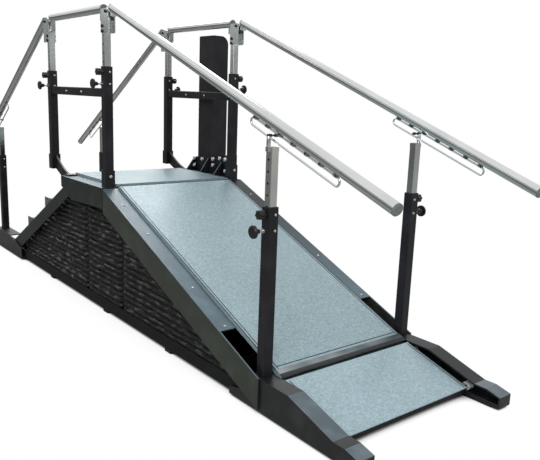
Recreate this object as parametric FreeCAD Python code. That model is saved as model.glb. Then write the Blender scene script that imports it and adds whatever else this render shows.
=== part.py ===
import FreeCAD, Part
import os
from math import sin, cos, tan, asin, atan2, radians, degrees, hypot

# Therapy training stairs: a platform that lowers between a ramp and a flight
# of level-keeping treads, with height-adjustable handrails on square posts.
# Millimetres. X runs from the stairs to the ramp, Y across, Z up.
# Everything is drawn from the post at the head of the ramp (x = 0), with the
# floor at z = 0, and is moved to the middle of its footprint at the end.

V = FreeCAD.Vector

# Levels and walking surface
step_rise = 160.0
moving_steps = 3
first_step_top = 140.0
tread_going = 294.0
deck_half = 316.0
deck_wall = 17.0
seam_x = 22.0
landing_length = 497.0
stair_edge_x = seam_x - landing_length
hinge_drop = 12.0
knee_height = 113.0
ramp_length = 1343.0
flap_length = 302.0
flap_height = 32.0
lift_travel = moving_steps * step_rise
platform_top = first_step_top + lift_travel

# Side plates and the layers across the width
side_width = 78.0
plate_outer = deck_half + side_width
plate_wall = 6.0
plate_inner = plate_outer - plate_wall
flange_gap = 4.0
flange_inner = deck_half + flange_gap
flange_wall = 6.0
stringer_inset = 9.0
stringer_outer = plate_outer - stringer_inset
stringer_wall = 5.0
tooth_inset = 16.0
tooth_outer = plate_outer - tooth_inset
tooth_wall = 4.0
link_gap = 7.0
link_outer = deck_half + link_gap
link_wall = 4.0
lug_outer = deck_half
lug_wall = 6.0
post_inset = 44.0
post_y = plate_outer - post_inset
fit_gap = 0.3
run_gap = 3.0

# Hinges of the ramp and flap and pivots of the stairs, at rest
hinge_x = seam_x
hinge_z = platform_top - hinge_drop
ramp_pitch = asin((hinge_z - knee_height) / ramp_length)
knee_x = hinge_x + ramp_length * cos(ramp_pitch)
flap_pitch = asin((knee_height - flap_height) / flap_length)
flap_end_x = knee_x + flap_length * cos(flap_pitch)
stair_pivot_inset = 27.0
stair_pivot_drop = 62.0
stair_pivot_x = stair_edge_x + stair_pivot_inset
stair_pivot_z = platform_top - stair_pivot_drop
stair_run = moving_steps * tread_going
stair_pitch = atan2(lift_travel, stair_run)
stair_length = hypot(lift_travel, stair_run)
foot_pivot_x = stair_pivot_x - stair_run
foot_pivot_z = stair_pivot_z - lift_travel
first_nosing_x = stair_edge_x - stair_run

# Where the fixed posts stand
post_before_knee = 57.45
ramp_post_x = knee_x - post_before_knee
post_beyond_stairs = 281.0
stair_post_x = foot_pivot_x - post_beyond_stairs

# Base
channel_width = 48.0
channel_wall = 4.0
channel_floor = 5.0
channel_bottom = 14.0
channel_top = 65.0
channel_beyond_post = 29.0
channel_start_x = stair_post_x - channel_beyond_post
channel_before_knee = 30.45
channel_end_x = knee_x - channel_before_knee
cross_width = 60.0
cross_height = 20.0
cross_wall = 3.0
cross_inset = 80.0
cross_beside_stairs = 330.0
cross_middle = 330.0
cross_before_knee = 370.45
cross_places = (channel_start_x + cross_inset, foot_pivot_x + cross_beside_stairs, -cross_middle, cross_middle,
                knee_x - cross_before_knee, channel_end_x - cross_inset)
sole_wall = 6.0
sole_bottom = channel_bottom - sole_wall
pad_size = 50.0
track_top = 57.0
track_play = 32.8
track_start_x = foot_pivot_x - (stair_length - stair_run) - track_play
track_end_play = 34.0
track_end_x = foot_pivot_x + track_end_play
track_side = 2.0

# Posts, tubes and knobs
post_size = 40.0
post_wall = 3.0
post_round = 4.0
corner_share = 0.6
tube_size = 30.0
tube_wall = 2.5
tube_round = 3.0
ramp_post_top = 706.0
stair_post_top = 607.0
head_post_x = 0.0
head_post_rise = 536.0
head_post_top = platform_top + head_post_rise
edge_post_reach = 198.0
edge_post_x = stair_edge_x - edge_post_reach
edge_post_rise = 520.0
edge_post_top = platform_top + edge_post_rise
edge_post_gap = 4.0
edge_post_bottom = platform_top + edge_post_gap
head_tube_rise = 199.0
head_tube_top = head_post_top + head_tube_rise
edge_tube_rise = 200.0
edge_tube_top = edge_post_top + edge_tube_rise
tube_overlap = 300.0
index_hole = 4.0
index_pitch = 38.0
index_count = 7
index_first = 26.0
hole_sides = 8
socket_size = 48.0
socket_height = 78.0
gusset_wall = 10.0
crossbar_height = 40.0
crossbar_rise = 440.0
crossbar_top = platform_top + crossbar_rise
crossbar_width = 30.0
knob_drop = 24.0
plunger_drop = 77.0
knob_radius = 16.0
knob_length = 18.0
knob_stem = 5.0
knob_reach = 12.0
plunger_radius = 22.0
plunger_cap = 9.0
plunger_reach = 44.0
plunger_hub = 13.0
plunger_neck = 7.0
plunger_hub_length = 20.0
plunger_stem = 4.0
nut_size = 8.0
nut_sides = 6
nut_length = 9.0

# Handrails
rail_radius = 19.0
rail_wall = 3.0
rail_height = 786.0
rail_axis_z = platform_top + rail_height
cap_length = 8.0
cap_edge = 3.0
ramp_rail_angle = 20.5
stair_rail_angle = 30.5
rail_pivot_x = 36.0
rail_pivot_drop = 16.0
rail_pivot_z = rail_axis_z - rail_pivot_drop
rail_rise = 24.0
ramp_post_along = (ramp_post_x - rail_pivot_x) / cos(radians(ramp_rail_angle))
stair_post_along = (edge_post_x - rail_pivot_x - stair_post_x) / cos(radians(stair_rail_angle))
ramp_rail_beyond = 555.42
stair_rail_beyond = 453.15
ramp_rail_length = ramp_post_along + ramp_rail_beyond
stair_rail_length = stair_post_along + stair_rail_beyond
rail_start = 20.0
lug_eye = 13.0
lug_thick = 18.0
pivot_bolt = 6.0
head_plate_wall = 4.0
rod_radius = 3.0
rod_sides = 8
loop_upper = 26.0
ramp_loop_lower = 52.0
stair_loop_lower = 64.0
ramp_loop_before = 118.58
ramp_loop_beyond = 333.42
ramp_loop_start = ramp_post_along - ramp_loop_before
ramp_loop_end = ramp_post_along + ramp_loop_beyond
stair_loop_before = 186.85
stair_loop_beyond = 263.15
stair_loop_start = stair_post_along - stair_loop_before
stair_loop_end = stair_post_along + stair_loop_beyond
clip_count = 7
clip_length = 16.0
clip_half = 7.0
hook_block = 32.0
hook_leg = 15.0
hook_radius = 4.0

# Stairs
tread_overlap = 31.0
tread_depth = tread_going + tread_overlap
tread_wall = 17.0
tooth_length = 129.0
wing_length = 100.0
link_drop = 20.0
link_half = 9.0
stringer_above = 2.0
stringer_depth = 64.0
stringer_end = 25.0
pin_radius = 6.0
link_pin = 5.0
roller_radius = 14.0
roller_play = 4.0

# Frames under the decks
platform_frame_depth = 50.0
ramp_frame_depth = 40.0
beam_width = 50.0
beam_wall = 4.0
beam_inset = 91.0
beam_centre_y = deck_half - beam_inset
arm_width = 40.0
hinge_radius = 4.5
hinge_pin = 2.0
knuckle_count = 5
knuckle_gap = 1.0
ramp_plate_depth = 104.0
flange_before_knee = 270.45
ramp_flange_end_x = knee_x - flange_before_knee
plate_end_gap = 5.0
ramp_plate_end_x = channel_end_x - plate_end_gap
nosing_wall = 2.0
side_plate_gap = 4.5
nosing_width = 41.0

# Bellows
pleat_reach = 17.0
pleat_back = 13.0
bellows_outer = post_y + pleat_reach
bellows_valley = post_y
bellows_inner = post_y - pleat_back
pleat_pitch = 27.0
bellows_from_stairs = 170.0
bellows_stair_x = foot_pivot_x + bellows_from_stairs
bellows_break_one = -230.0
bellows_break_two = 145.0
bellows_before_knee = 220.45
bellows_ramp_x = knee_x - bellows_before_knee
bellows_seam = 2.0
bellows_gap = 10.0

# Lift column
column_inset = 71.0
column_width = 144.0
column_gap = 2.0
column_depth = 96.0
column_left = stair_edge_x + column_inset
column_right = column_left + column_width
column_front = plate_outer + column_gap
column_back = column_front + column_depth
column_drop = 100.0
column_rise = 743.0
column_bottom = platform_top - column_drop
column_top = platform_top + column_rise
column_wall = 4.0
column_round = 45.0
motor_height = 90.0
mast_clearance = 17.0
rod_clearance = 11.0
mast_top = column_top - column_wall - motor_height - lift_travel - mast_clearance
mast_width = 60.0
mast_depth = 50.0
mast_wall = 4.0
rod_size = 12.0
rod_top = column_top - column_wall - motor_height - lift_travel - rod_clearance
barrel_radius = 24.0
barrel_fit = 0.2
barrel_bore = rod_size + barrel_fit
barrel_rise = 20.0
barrel_bottom = platform_top + barrel_rise


def box(x0, x1, y0, y1, z0, z1):
    return Part.makeBox(x1 - x0, y1 - y0, z1 - z0, V(x0, y0, z0))


def plate(points, y0, y1):
    """Outline in X and Z, thick from y0 to y1."""
    loop = [V(x, y0, z) for x, z in points]
    face = Part.Face(Part.makePolygon(loop + loop[:1]))
    return face.extrude(V(0, y1 - y0, 0))


def fuse(shapes):
    result = shapes[0].fuse(shapes[1:]) if len(shapes) > 1 else shapes[0]
    return result.removeSplitter()


def mirror(shape):
    return shape.mirror(V(0, 0, 0), V(0, 1, 0))


def pair(shapes):
    """The same solids on the near and the far side."""
    return list(shapes) + [mirror(s) for s in shapes]


def peg(x, z, radius, y0, y1):
    return Part.makeCylinder(radius, y1 - y0, V(x, y0, z), V(0, 1, 0))


def ring(x, z, radius, bore, y0, y1):
    return peg(x, z, radius, y0, y1).cut(peg(x, z, bore, y0, y1))


def faceted(x, z, radius, sides, y0, y1):
    """Bar or hole along Y with flat sides round a circle of that radius."""
    corner = radius / cos(radians(180 / sides))
    turns = [radians((i + 0.5) * 360 / sides) for i in range(sides)]
    return plate([(x + corner * cos(t), z + corner * sin(t)) for t in turns], y0, y1)


def rounded(x, y, wide, deep, radius, z0, z1):
    """Upright square bar with broken corners."""
    bar = box(x - wide / 2, x + wide / 2, y - deep / 2, y + deep / 2, z0, z1)
    upright = [e for e in bar.Edges if abs(e.tangentAt(e.FirstParameter).z) > abs(e.tangentAt(e.FirstParameter).x)
               and abs(e.tangentAt(e.FirstParameter).z) > abs(e.tangentAt(e.FirstParameter).y)]
    return bar.makeChamfer(radius * corner_share, upright)


def square_tube(x, y, size, wall, radius, z0, z1):
    outer = rounded(x, y, size, size, radius, z0, z1)
    inner = box(x - size / 2 + wall, x + size / 2 - wall, y - size / 2 + wall, y + size / 2 - wall, z0, z1)
    return outer.cut(inner)


def beam_x(x0, x1, y, z0, z1, width):
    outer = box(x0, x1, y - width / 2, y + width / 2, z0, z1)
    inner = box(x0, x1, y - width / 2 + beam_wall, y + width / 2 - beam_wall, z0 + beam_wall, z1 - beam_wall)
    return outer.cut(inner)


def beam_y(x0, x1, y0, y1, z0, z1, wall):
    outer = box(x0, x1, y0, y1, z0, z1)
    inner = box(x0 + wall, x1 - wall, y0, y1, z0 + wall, z1 - wall)
    return outer.cut(inner)


def slope(shape, x, z, pitch, facing, y):
    """Lay a piece drawn along +X down the slope from a pivot."""
    placed = shape.copy()
    if facing < 0:
        placed = placed.mirror(V(0, 0, 0), V(1, 0, 0))
    placed.rotate(V(0, 0, 0), V(0, 1, 0), facing * pitch)
    placed.translate(V(x, y, z))
    return placed


# Walls of the channels and layers of the deck
channel_outer = post_y + channel_width / 2
channel_inner = post_y - channel_width / 2
flange_top = platform_top - deck_wall + flange_wall
flange_bottom = flange_top - flange_wall
deck_bottom = platform_top - deck_wall


def on_ramp(u, v):
    return (hinge_x + u * cos(ramp_pitch) + v * sin(ramp_pitch), hinge_z - u * sin(ramp_pitch) + v * cos(ramp_pitch))


def on_stairs(s, n):
    return (stair_pivot_x - s * cos(stair_pitch) - n * sin(stair_pitch),
            stair_pivot_z - s * sin(stair_pitch) + n * cos(stair_pitch))


def ramp_u_at(x, v):
    return (x - hinge_x - v * sin(ramp_pitch)) / cos(ramp_pitch)


nodes = {}

# Base: two channels, the ties between them and the sole under the column
def make_base():
    channels = []
    outer = box(channel_start_x, channel_end_x, channel_inner, channel_outer, channel_bottom, channel_top)
    trough = box(channel_start_x, channel_end_x, channel_inner + channel_wall, channel_outer - channel_wall,
                 channel_bottom + channel_floor, channel_top)
    channels.append(outer.cut(trough))
    channels.append(box(track_start_x, track_end_x, channel_inner + channel_wall + track_side,
                        channel_outer - channel_wall - track_side, channel_bottom + channel_floor, track_top))
    pieces = pair([fuse(channels)])
    for x in cross_places:
        pieces.append(beam_y(x - cross_width / 2, x + cross_width / 2, -channel_inner, channel_inner,
                             channel_bottom, channel_bottom + cross_height, cross_wall))
    pieces.append(box(column_left, column_right, channel_inner, column_back - column_wall, sole_bottom, channel_bottom))
    return pieces


nodes["base_frame"] = make_base()

# Ramp feet: a long housing that guides the flap rollers
foot_inset = 8.0
foot_plate_outer = plate_outer - foot_inset
foot_plate_inner = foot_plate_outer - flange_wall
ear_length = 180.0
ear_start_x = channel_end_x - ear_length
foot_beyond_flap = 137.61
ramp_foot_end_x = flap_end_x + foot_beyond_flap
foot_flange_z = 125.0
flange_before_post = 23.0
foot_flange_start = ramp_post_x - flange_before_post
foot_beyond_knee = 110.55
foot_knee_x = knee_x + foot_beyond_knee
foot_low_beyond_flap = 30.61
foot_low_x = flap_end_x + foot_low_beyond_flap
foot_low_z = 64.0
foot_nose_z = 50.0
foot_nose_length = 58.0
lip_height = 22.0
shelf_gap = 15.0
shelf_length = 165.0
spacer_length = 40.0
shelf_start_x = channel_end_x + shelf_gap
shelf_end_x = shelf_start_x + shelf_length
spacer_end_x = ear_start_x + spacer_length


def make_ramp_foot():
    outline = [(ear_start_x, sole_bottom), (ramp_foot_end_x, sole_bottom), (ramp_foot_end_x, foot_nose_z),
               (ramp_foot_end_x - foot_nose_length, foot_low_z), (foot_low_x, foot_low_z),
               (foot_knee_x, foot_flange_z), (foot_flange_start, foot_flange_z),
               (foot_flange_start, channel_top), (ear_start_x, channel_bottom + cross_height)]
    side = plate(outline, foot_plate_inner, foot_plate_outer)
    roof = plate([(foot_flange_start, foot_flange_z - flange_wall), (foot_flange_start, foot_flange_z),
                  (foot_knee_x, foot_flange_z), (foot_low_x, foot_low_z),
                  (ramp_foot_end_x - foot_nose_length, foot_low_z), (ramp_foot_end_x, foot_nose_z),
                  (ramp_foot_end_x, foot_nose_z - flange_wall),
                  (ramp_foot_end_x - foot_nose_length, foot_low_z - flange_wall),
                  (foot_low_x, foot_low_z - flange_wall), (foot_knee_x, foot_flange_z - flange_wall)],
                 flange_inner, foot_plate_outer)
    hole = box(ramp_post_x - post_size / 2, ramp_post_x + post_size / 2, post_y - post_size / 2,
               post_y + post_size / 2, channel_top, foot_flange_z + flange_wall)
    sole = box(ear_start_x, ramp_foot_end_x, flange_inner, foot_plate_outer, sole_bottom, channel_bottom)
    lip = box(channel_end_x, ramp_foot_end_x, flange_inner, flange_inner + channel_wall, sole_bottom, lip_height)
    nose = box(ramp_foot_end_x - flange_wall, ramp_foot_end_x, flange_inner, foot_plate_outer, sole_bottom, foot_nose_z)
    shelf = box(shelf_start_x, shelf_end_x, channel_inner, foot_plate_outer, channel_top - flange_wall, channel_top)
    spacer = box(ear_start_x, spacer_end_x, channel_outer, foot_plate_inner, channel_bottom, channel_bottom + cross_height)
    return fuse([side, roof.cut(hole), sole, lip, nose, shelf, spacer])


nodes["ramp_feet"] = pair([make_ramp_foot()])

# Stair feet: the box round the lowest post and the plate beside the stringer
stair_foot_before_post = 89.0
stair_foot_length = 535.0
stair_foot_box_length = 200.0
stair_foot_flat_length = 315.0
stair_foot_start = stair_post_x - stair_foot_before_post
stair_foot_end = stair_foot_start + stair_foot_length
stair_foot_box_end = stair_foot_start + stair_foot_box_length
stair_foot_flat_end = stair_foot_start + stair_foot_flat_length
stair_foot_top = 118.0
stair_foot_low = 76.0
stair_foot_chamfer = 24.0


def make_stair_foot():
    outline = [(stair_foot_start, sole_bottom), (stair_foot_start, stair_foot_top - stair_foot_chamfer),
               (stair_foot_start + stair_foot_chamfer, stair_foot_top), (stair_foot_flat_end, stair_foot_top),
               (stair_foot_end, stair_foot_low), (stair_foot_end, sole_bottom)]
    side = plate(outline, plate_inner, plate_outer)
    roof = plate([(stair_foot_start, sole_bottom), (stair_foot_start, stair_foot_top - stair_foot_chamfer),
                  (stair_foot_start + stair_foot_chamfer, stair_foot_top), (stair_foot_flat_end, stair_foot_top),
                  (stair_foot_flat_end, stair_foot_top - flange_wall),
                  (stair_foot_start + stair_foot_chamfer, stair_foot_top - flange_wall),
                  (stair_foot_start + flange_wall, stair_foot_top - stair_foot_chamfer),
                  (stair_foot_start + flange_wall, sole_bottom)], flange_inner, plate_outer)
    hole = box(stair_post_x - post_size / 2, stair_post_x + post_size / 2, post_y - post_size / 2,
               post_y + post_size / 2, channel_top, stair_foot_top + flange_wall)
    sole = box(stair_foot_start, stair_foot_end, flange_inner, channel_outer, sole_bottom, channel_bottom)
    box_sole = box(stair_foot_start, stair_foot_box_end, flange_inner, plate_outer, sole_bottom, channel_bottom)
    return fuse([side, roof.cut(hole), sole, box_sole])


nodes["stair_feet"] = pair([make_stair_foot()])

# The first step does not move
foot_step_depth = 205.0
foot_step_end_x = first_nosing_x + foot_step_depth
foot_leg_wall = 5.0
foot_leg_inset = 26.0


def make_foot_step():
    top = box(first_nosing_x, foot_step_end_x, -deck_half, deck_half, first_step_top - deck_wall, first_step_top)
    front = [e for e in top.Edges if abs(e.CenterOfMass.x - first_nosing_x) < fit_gap and e.CenterOfMass.z > first_step_top - fit_gap]
    pieces = [top.makeFillet(flange_wall, front)]
    leg_bottom = channel_bottom + cross_height
    for y in (-deck_half + foot_leg_inset, 0, deck_half - foot_leg_inset - foot_leg_wall):
        pieces.append(box(first_nosing_x + foot_leg_inset, foot_step_end_x - foot_leg_inset, y, y + foot_leg_wall,
                          channel_bottom, first_step_top - deck_wall))
    pieces.append(box(first_nosing_x + foot_leg_inset, foot_step_end_x - foot_leg_inset,
                      -deck_half + foot_leg_inset, deck_half - foot_leg_inset, channel_bottom, channel_bottom + foot_leg_wall))
    for x in (first_nosing_x + foot_leg_inset, foot_step_end_x - foot_leg_inset - cross_width):
        pieces.append(box(x, x + cross_width, -channel_inner, channel_inner, channel_bottom, channel_bottom + foot_leg_wall))
    return [fuse(pieces)]


nodes["foot_step"] = make_foot_step()

# Floor pads
pad_beside_stairs = 100.0
pad_before_end = 110.0
pad_before_nose = 59.0
sole_pad_places = (channel_start_x, foot_pivot_x + pad_beside_stairs, channel_end_x - pad_before_end, ramp_foot_end_x - pad_before_nose)
channel_pad_places = (-700.0, 0.0, 600.0)
pads = []


def make_pad(x, y, height):
    return rounded(x, y, pad_size, pad_size, post_round, 0, height)


for place_x in sole_pad_places:
    pads += pair([make_pad(place_x, post_y, sole_bottom)])
for place_x in channel_pad_places:
    pads += pair([make_pad(place_x, post_y, channel_bottom)])
pads.append(make_pad((column_left + column_right) / 2, (column_front + column_back) / 2, sole_bottom))
nodes["floor_pads"] = pads

# Fixed mast and screw of the lift, inside the column
column_mid_y = (column_front + column_back) / 2
mast_x = column_left + column_wall + run_gap + mast_width / 2
screw_x = column_right - column_wall - run_gap - barrel_radius
mast_outer = box(mast_x - mast_width / 2, mast_x + mast_width / 2, column_mid_y - mast_depth / 2,
                 column_mid_y + mast_depth / 2, channel_bottom, mast_top)
mast_inner = box(mast_x - mast_width / 2 + mast_wall, mast_x + mast_width / 2 - mast_wall,
                 column_mid_y - mast_depth / 2 + mast_wall, column_mid_y + mast_depth / 2 - mast_wall,
                 channel_bottom, mast_top)
nodes["guide_mast"] = [mast_outer.cut(mast_inner)]
nodes["actuator_rod"] = [fuse([Part.makeCylinder(rod_size, rod_top - channel_bottom, V(screw_x, column_mid_y, channel_bottom)),
                               Part.makeCylinder(barrel_radius, cross_height, V(screw_x, column_mid_y, channel_bottom))])]


# Posts fixed to the base; each has a hole for its clamp screw and its index pin
def drill_post(post, x, top):
    far = post_y + post_size
    post = post.cut(faceted(x, top - knob_drop, knob_stem + fit_gap, hole_sides, post_y, far))
    return post.cut(faceted(x, top - plunger_drop, plunger_stem + fit_gap, hole_sides, post_y, far))


def index_nut(x, top):
    face = post_y + post_size / 2
    nut = faceted(x, top - plunger_drop, nut_size, nut_sides, face, face + nut_length)
    return nut.cut(faceted(x, top - plunger_drop, plunger_stem + fit_gap, hole_sides, face, face + nut_length))


def make_post(x, bottom, top):
    return drill_post(square_tube(x, post_y, post_size, post_wall, post_round, bottom, top), x, top)


post_seat = channel_bottom + channel_floor
nodes["foot_posts"] = pair([make_post(ramp_post_x, post_seat, ramp_post_top), index_nut(ramp_post_x, ramp_post_top),
                            make_post(stair_post_x, post_seat, stair_post_top), index_nut(stair_post_x, stair_post_top)])

# Bellows: three pleated panels on each side, standing in the channel
bellows_foot = channel_bottom + channel_floor
bellows_peak = flange_bottom - platform_frame_depth - bellows_gap


def bellows_panel(x0, x1):
    count = int((bellows_peak - bellows_foot) / pleat_pitch)
    pitch = (bellows_peak - bellows_foot) / count
    points = [V(x0, bellows_inner, bellows_foot)]
    for i in range(count):
        low = bellows_foot + i * pitch
        points.append(V(x0, bellows_valley, low))
        points.append(V(x0, bellows_outer, low + pitch * pleat_low_share))
        points.append(V(x0, bellows_outer, low + pitch * pleat_high_share))
    points.append(V(x0, bellows_valley, bellows_peak))
    points.append(V(x0, bellows_inner, bellows_peak))
    return Part.Face(Part.makePolygon(points + points[:1])).extrude(V(x1 - x0, 0, 0))


pleat_low_share = 0.3
pleat_high_share = 0.7
stringer_cover = 22.0
bellows_ramp_v = -ramp_frame_depth - hinge_drop
bellows_outline = [(bellows_stair_x, bellows_foot)]
bellows_outline.append((bellows_stair_x, stair_pivot_z - (stair_pivot_x - bellows_stair_x) * tan(stair_pitch) - stringer_cover))
bellows_outline.append((stair_pivot_x - (stair_pivot_z - stringer_cover - bellows_peak) / tan(stair_pitch), bellows_peak))
bellows_outline.append((on_ramp(0, bellows_ramp_v)[0] + (on_ramp(0, bellows_ramp_v)[1] - bellows_peak) / tan(ramp_pitch), bellows_peak))
bellows_outline.append((bellows_ramp_x, on_ramp(0, bellows_ramp_v)[1]
                        - (bellows_ramp_x - on_ramp(0, bellows_ramp_v)[0]) * tan(ramp_pitch)))
bellows_outline.append((bellows_ramp_x, bellows_foot))
bellows_cut = plate(bellows_outline, bellows_inner, bellows_outer)
panels = [(bellows_stair_x, bellows_break_one - bellows_seam), (bellows_break_one + bellows_seam, bellows_break_two - bellows_gap),
          (bellows_break_two + bellows_gap, bellows_ramp_x)]
nodes["bellows"] = pair([bellows_panel(a, b).common(bellows_cut) for a, b in panels])

# Platform frame: two long beams, cross tubes with arms to the side plates, link lugs, half the hinge
platform_beam_bottom = deck_bottom - platform_frame_depth
knuckle_length = 2 * deck_half / knuckle_count
leaf_wall = 3.5
arm_from_edge = 95.0
arm_from_seam = 82.0
arm_places = (stair_edge_x + arm_from_edge, seam_x - arm_from_seam)
frame_start_x = stair_edge_x + run_gap
frame_end_x = seam_x - hinge_radius + fit_gap / 2
deck_end_x = seam_x - hinge_radius - fit_gap


def knuckles(x, z, parity, bore):
    """Every second barrel of a piano hinge across the deck."""
    barrels = []
    for i in range(knuckle_count):
        if i % 2 == parity:
            y0 = -deck_half + i * knuckle_length + knuckle_gap / 2
            barrel = peg(x, z, hinge_radius, y0, y0 + knuckle_length - knuckle_gap)
            barrels.append(barrel.cut(peg(x, z, bore, y0, y0 + knuckle_length)) if bore else barrel)
    return barrels


def leaves(x0, x1, z0, z1, parity):
    strips = []
    for i in range(knuckle_count):
        if i % 2 == parity:
            y0 = -deck_half + i * knuckle_length + knuckle_gap / 2
            strips.append(box(x0, x1, y0, y0 + knuckle_length - knuckle_gap, z0, z1))
    return strips


def make_platform_frame():
    pieces = []
    for side in (-1, 0, 1):
        pieces.append(beam_x(frame_start_x, frame_end_x, side * beam_centre_y, platform_beam_bottom, deck_bottom, beam_width))
    for x in (frame_start_x, frame_end_x - arm_width):
        pieces.append(beam_y(x, x + arm_width, -lug_outer, lug_outer, platform_beam_bottom, deck_bottom, beam_wall))
    for x in arm_places:
        pieces.append(beam_y(x, x + arm_width, -plate_inner, plate_inner, platform_beam_bottom, deck_bottom, beam_wall))
    lug = plate([(stair_pivot_x - pin_radius * 2, deck_bottom), (stair_pivot_x + pin_radius * 2, deck_bottom),
                 (stair_pivot_x + pin_radius * 2, stair_pivot_z - link_drop - pin_radius * 2),
                 (stair_pivot_x - pin_radius * 2, stair_pivot_z - link_drop - pin_radius * 2)],
                lug_outer - lug_wall, lug_outer)
    pin = peg(stair_pivot_x, stair_pivot_z - link_drop, link_pin, lug_outer, link_outer + fit_gap)
    pieces += pair([lug, pin])
    pieces += knuckles(hinge_x, hinge_z, 0, 0)
    leaf_low = hinge_z - hinge_radius - leaf_wall
    pieces += leaves(frame_end_x - beam_wall, deck_end_x, leaf_low, deck_bottom, 0)
    pieces += leaves(deck_end_x, hinge_x, leaf_low, hinge_z - hinge_radius + fit_gap / 2, 0)
    pieces.append(peg(hinge_x, hinge_z, hinge_pin, -deck_half, deck_half))
    return [fuse(pieces)]


nodes["platform_frame"] = make_platform_frame()

top = box(stair_edge_x, deck_end_x, -deck_half, deck_half, deck_bottom, platform_top)
front = [e for e in top.Edges if abs(e.CenterOfMass.x - stair_edge_x) < fit_gap and e.CenterOfMass.z > platform_top - fit_gap]
nodes["platform_deck"] = [top.makeFillet(flange_wall, front)]

# Platform side plates with their top flange and the stringer pivot
plate_beyond_seam = 6.0
plate_depth = 120.0
plate_ramp_depth = 106.0
notch_length = 130.0
notch_depth = 64.0
platform_plate_end = seam_x + plate_beyond_seam
platform_plate_low = platform_top - plate_depth
platform_plate_ramp_low = platform_top - plate_ramp_depth
platform_plate_notch_x = stair_edge_x + notch_length
platform_plate_notch_z = platform_top - notch_depth


def make_platform_side():
    outline = [(stair_edge_x, flange_top), (platform_plate_end, flange_top), (platform_plate_end, platform_plate_ramp_low),
               (platform_plate_notch_x, platform_plate_low), (stair_edge_x, platform_plate_notch_z)]
    side = plate(outline, plate_inner, plate_outer)
    flange = box(stair_edge_x, platform_plate_end, flange_inner, plate_outer, flange_bottom, flange_top)
    pin = peg(stair_pivot_x, stair_pivot_z, pin_radius, stringer_outer - stringer_wall - fit_gap * 4, plate_inner)
    return fuse([side, flange, pin])


nodes["platform_side_plates"] = pair([make_platform_side()])

# Posts of the landing, their sockets and the bar between them
nodes["landing_posts"] = pair([make_post(head_post_x, flange_top, head_post_top), index_nut(head_post_x, head_post_top),
                               make_post(edge_post_x, edge_post_bottom, edge_post_top), index_nut(edge_post_x, edge_post_top)])

gusset_foot_length = 48.0
gusset_foot_height = 7.0
gusset_sag_share = 0.05
gusset_depth = 54.0


def make_socket(x, z):
    outer = rounded(x, post_y, socket_size, socket_size, post_round, z, z + socket_height)
    return outer.cut(box(x - post_size / 2, x + post_size / 2, post_y - post_size / 2, post_y + post_size / 2, z, z + socket_height))


def make_gusset():
    left = edge_post_x + socket_size / 2
    right = stair_edge_x + gusset_foot_length
    upper = V(left, 0, edge_post_bottom + socket_height - run_gap)
    lower = V(stair_edge_x, 0, flange_top + gusset_foot_height)
    reach = lower.sub(upper)
    middle = upper.add(reach / 2).add(V(reach.z, 0, -reach.x).normalize() * (reach.Length * gusset_sag_share))
    points = [V(left, 0, edge_post_bottom + run_gap), upper]
    edges = [Part.LineSegment(points[0], points[1]), Part.Arc(upper, middle, lower)]
    rest = [lower, V(stair_edge_x, 0, flange_top - gusset_depth), points[0]]
    edges += [Part.LineSegment(a, b) for a, b in zip(rest, rest[1:])]
    face = Part.Face(Part.Wire([e.toShape() for e in edges]))
    web = face.extrude(V(0, gusset_wall, 0))
    web.translate(V(0, post_y - gusset_wall / 2, 0))
    shoe = box(stair_edge_x, right, post_y - socket_size / 2, post_y + socket_size / 2, flange_top, flange_top + gusset_foot_height)
    return [web, shoe]


nodes["post_sockets"] = pair([make_socket(head_post_x, flange_top), make_socket(edge_post_x, edge_post_bottom)] + make_gusset())
bar_left = edge_post_x + post_size / 2
bar_right = head_post_x - post_size / 2
bar_outer = box(bar_left, bar_right, post_y - crossbar_width / 2, post_y + crossbar_width / 2, crossbar_top - crossbar_height, crossbar_top)
long_edges = [e for e in bar_outer.Edges if abs(e.tangentAt(e.FirstParameter).x) > fit_gap]
bar_inner = box(bar_left, bar_right, post_y - crossbar_width / 2 + post_wall, post_y + crossbar_width / 2 - post_wall,
                crossbar_top - crossbar_height + post_wall, crossbar_top - post_wall)
nodes["landing_crossbars"] = pair([bar_outer.makeFillet(post_round, long_edges).cut(bar_inner)])


# Column cover, open below, with the rounded top corner at the back
def column_body(inset, bottom, top):
    outline = [V(column_left + inset, column_front + inset, bottom), V(column_left + inset, column_front + inset, top),
               V(column_left + inset, column_back - column_round, top),
               V(column_left + inset, column_back - inset, top + inset - column_round), V(column_left + inset, column_back - inset, bottom)]
    radius = column_round - inset
    centre = V(column_left + inset, column_back - column_round, top - radius)
    middle = V(centre.x, centre.y + radius * sin(radians(45)), centre.z + radius * cos(radians(45)))
    edges = [Part.LineSegment(outline[0], outline[1]), Part.LineSegment(outline[1], outline[2]),
             Part.Arc(outline[2], middle, outline[3]), Part.LineSegment(outline[3], outline[4]), Part.LineSegment(outline[4], outline[0])]
    face = Part.Face(Part.Wire([e.toShape() for e in edges]))
    return face.extrude(V(column_right - column_left - 2 * inset, 0, 0))


nodes["column_cover"] = [column_body(0, column_bottom, column_top).cut(column_body(column_wall, column_bottom, column_top - column_wall))]

# Column bracket: a tapering plate on the flange with two ribs and a foot
bracket_inset = 5.0
bracket_slope_length = 50.0
bracket_before_seam = 38.0
bracket_low_rise = 70.0
bracket_high_rise = 115.0
bracket_start_x = stair_edge_x + bracket_inset
bracket_rise_x = bracket_start_x + bracket_slope_length
bracket_end_x = seam_x - bracket_before_seam
bracket_low = platform_top + bracket_low_rise
bracket_high = platform_top + bracket_high_rise
bracket_wall = 6.0
rib_depth = 14.0
rib_height = 70.0
rib_wall = 6.0
rib_first = 145.0
rib_second = 325.0
rib_places = (stair_edge_x + rib_first, stair_edge_x + rib_second)


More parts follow.
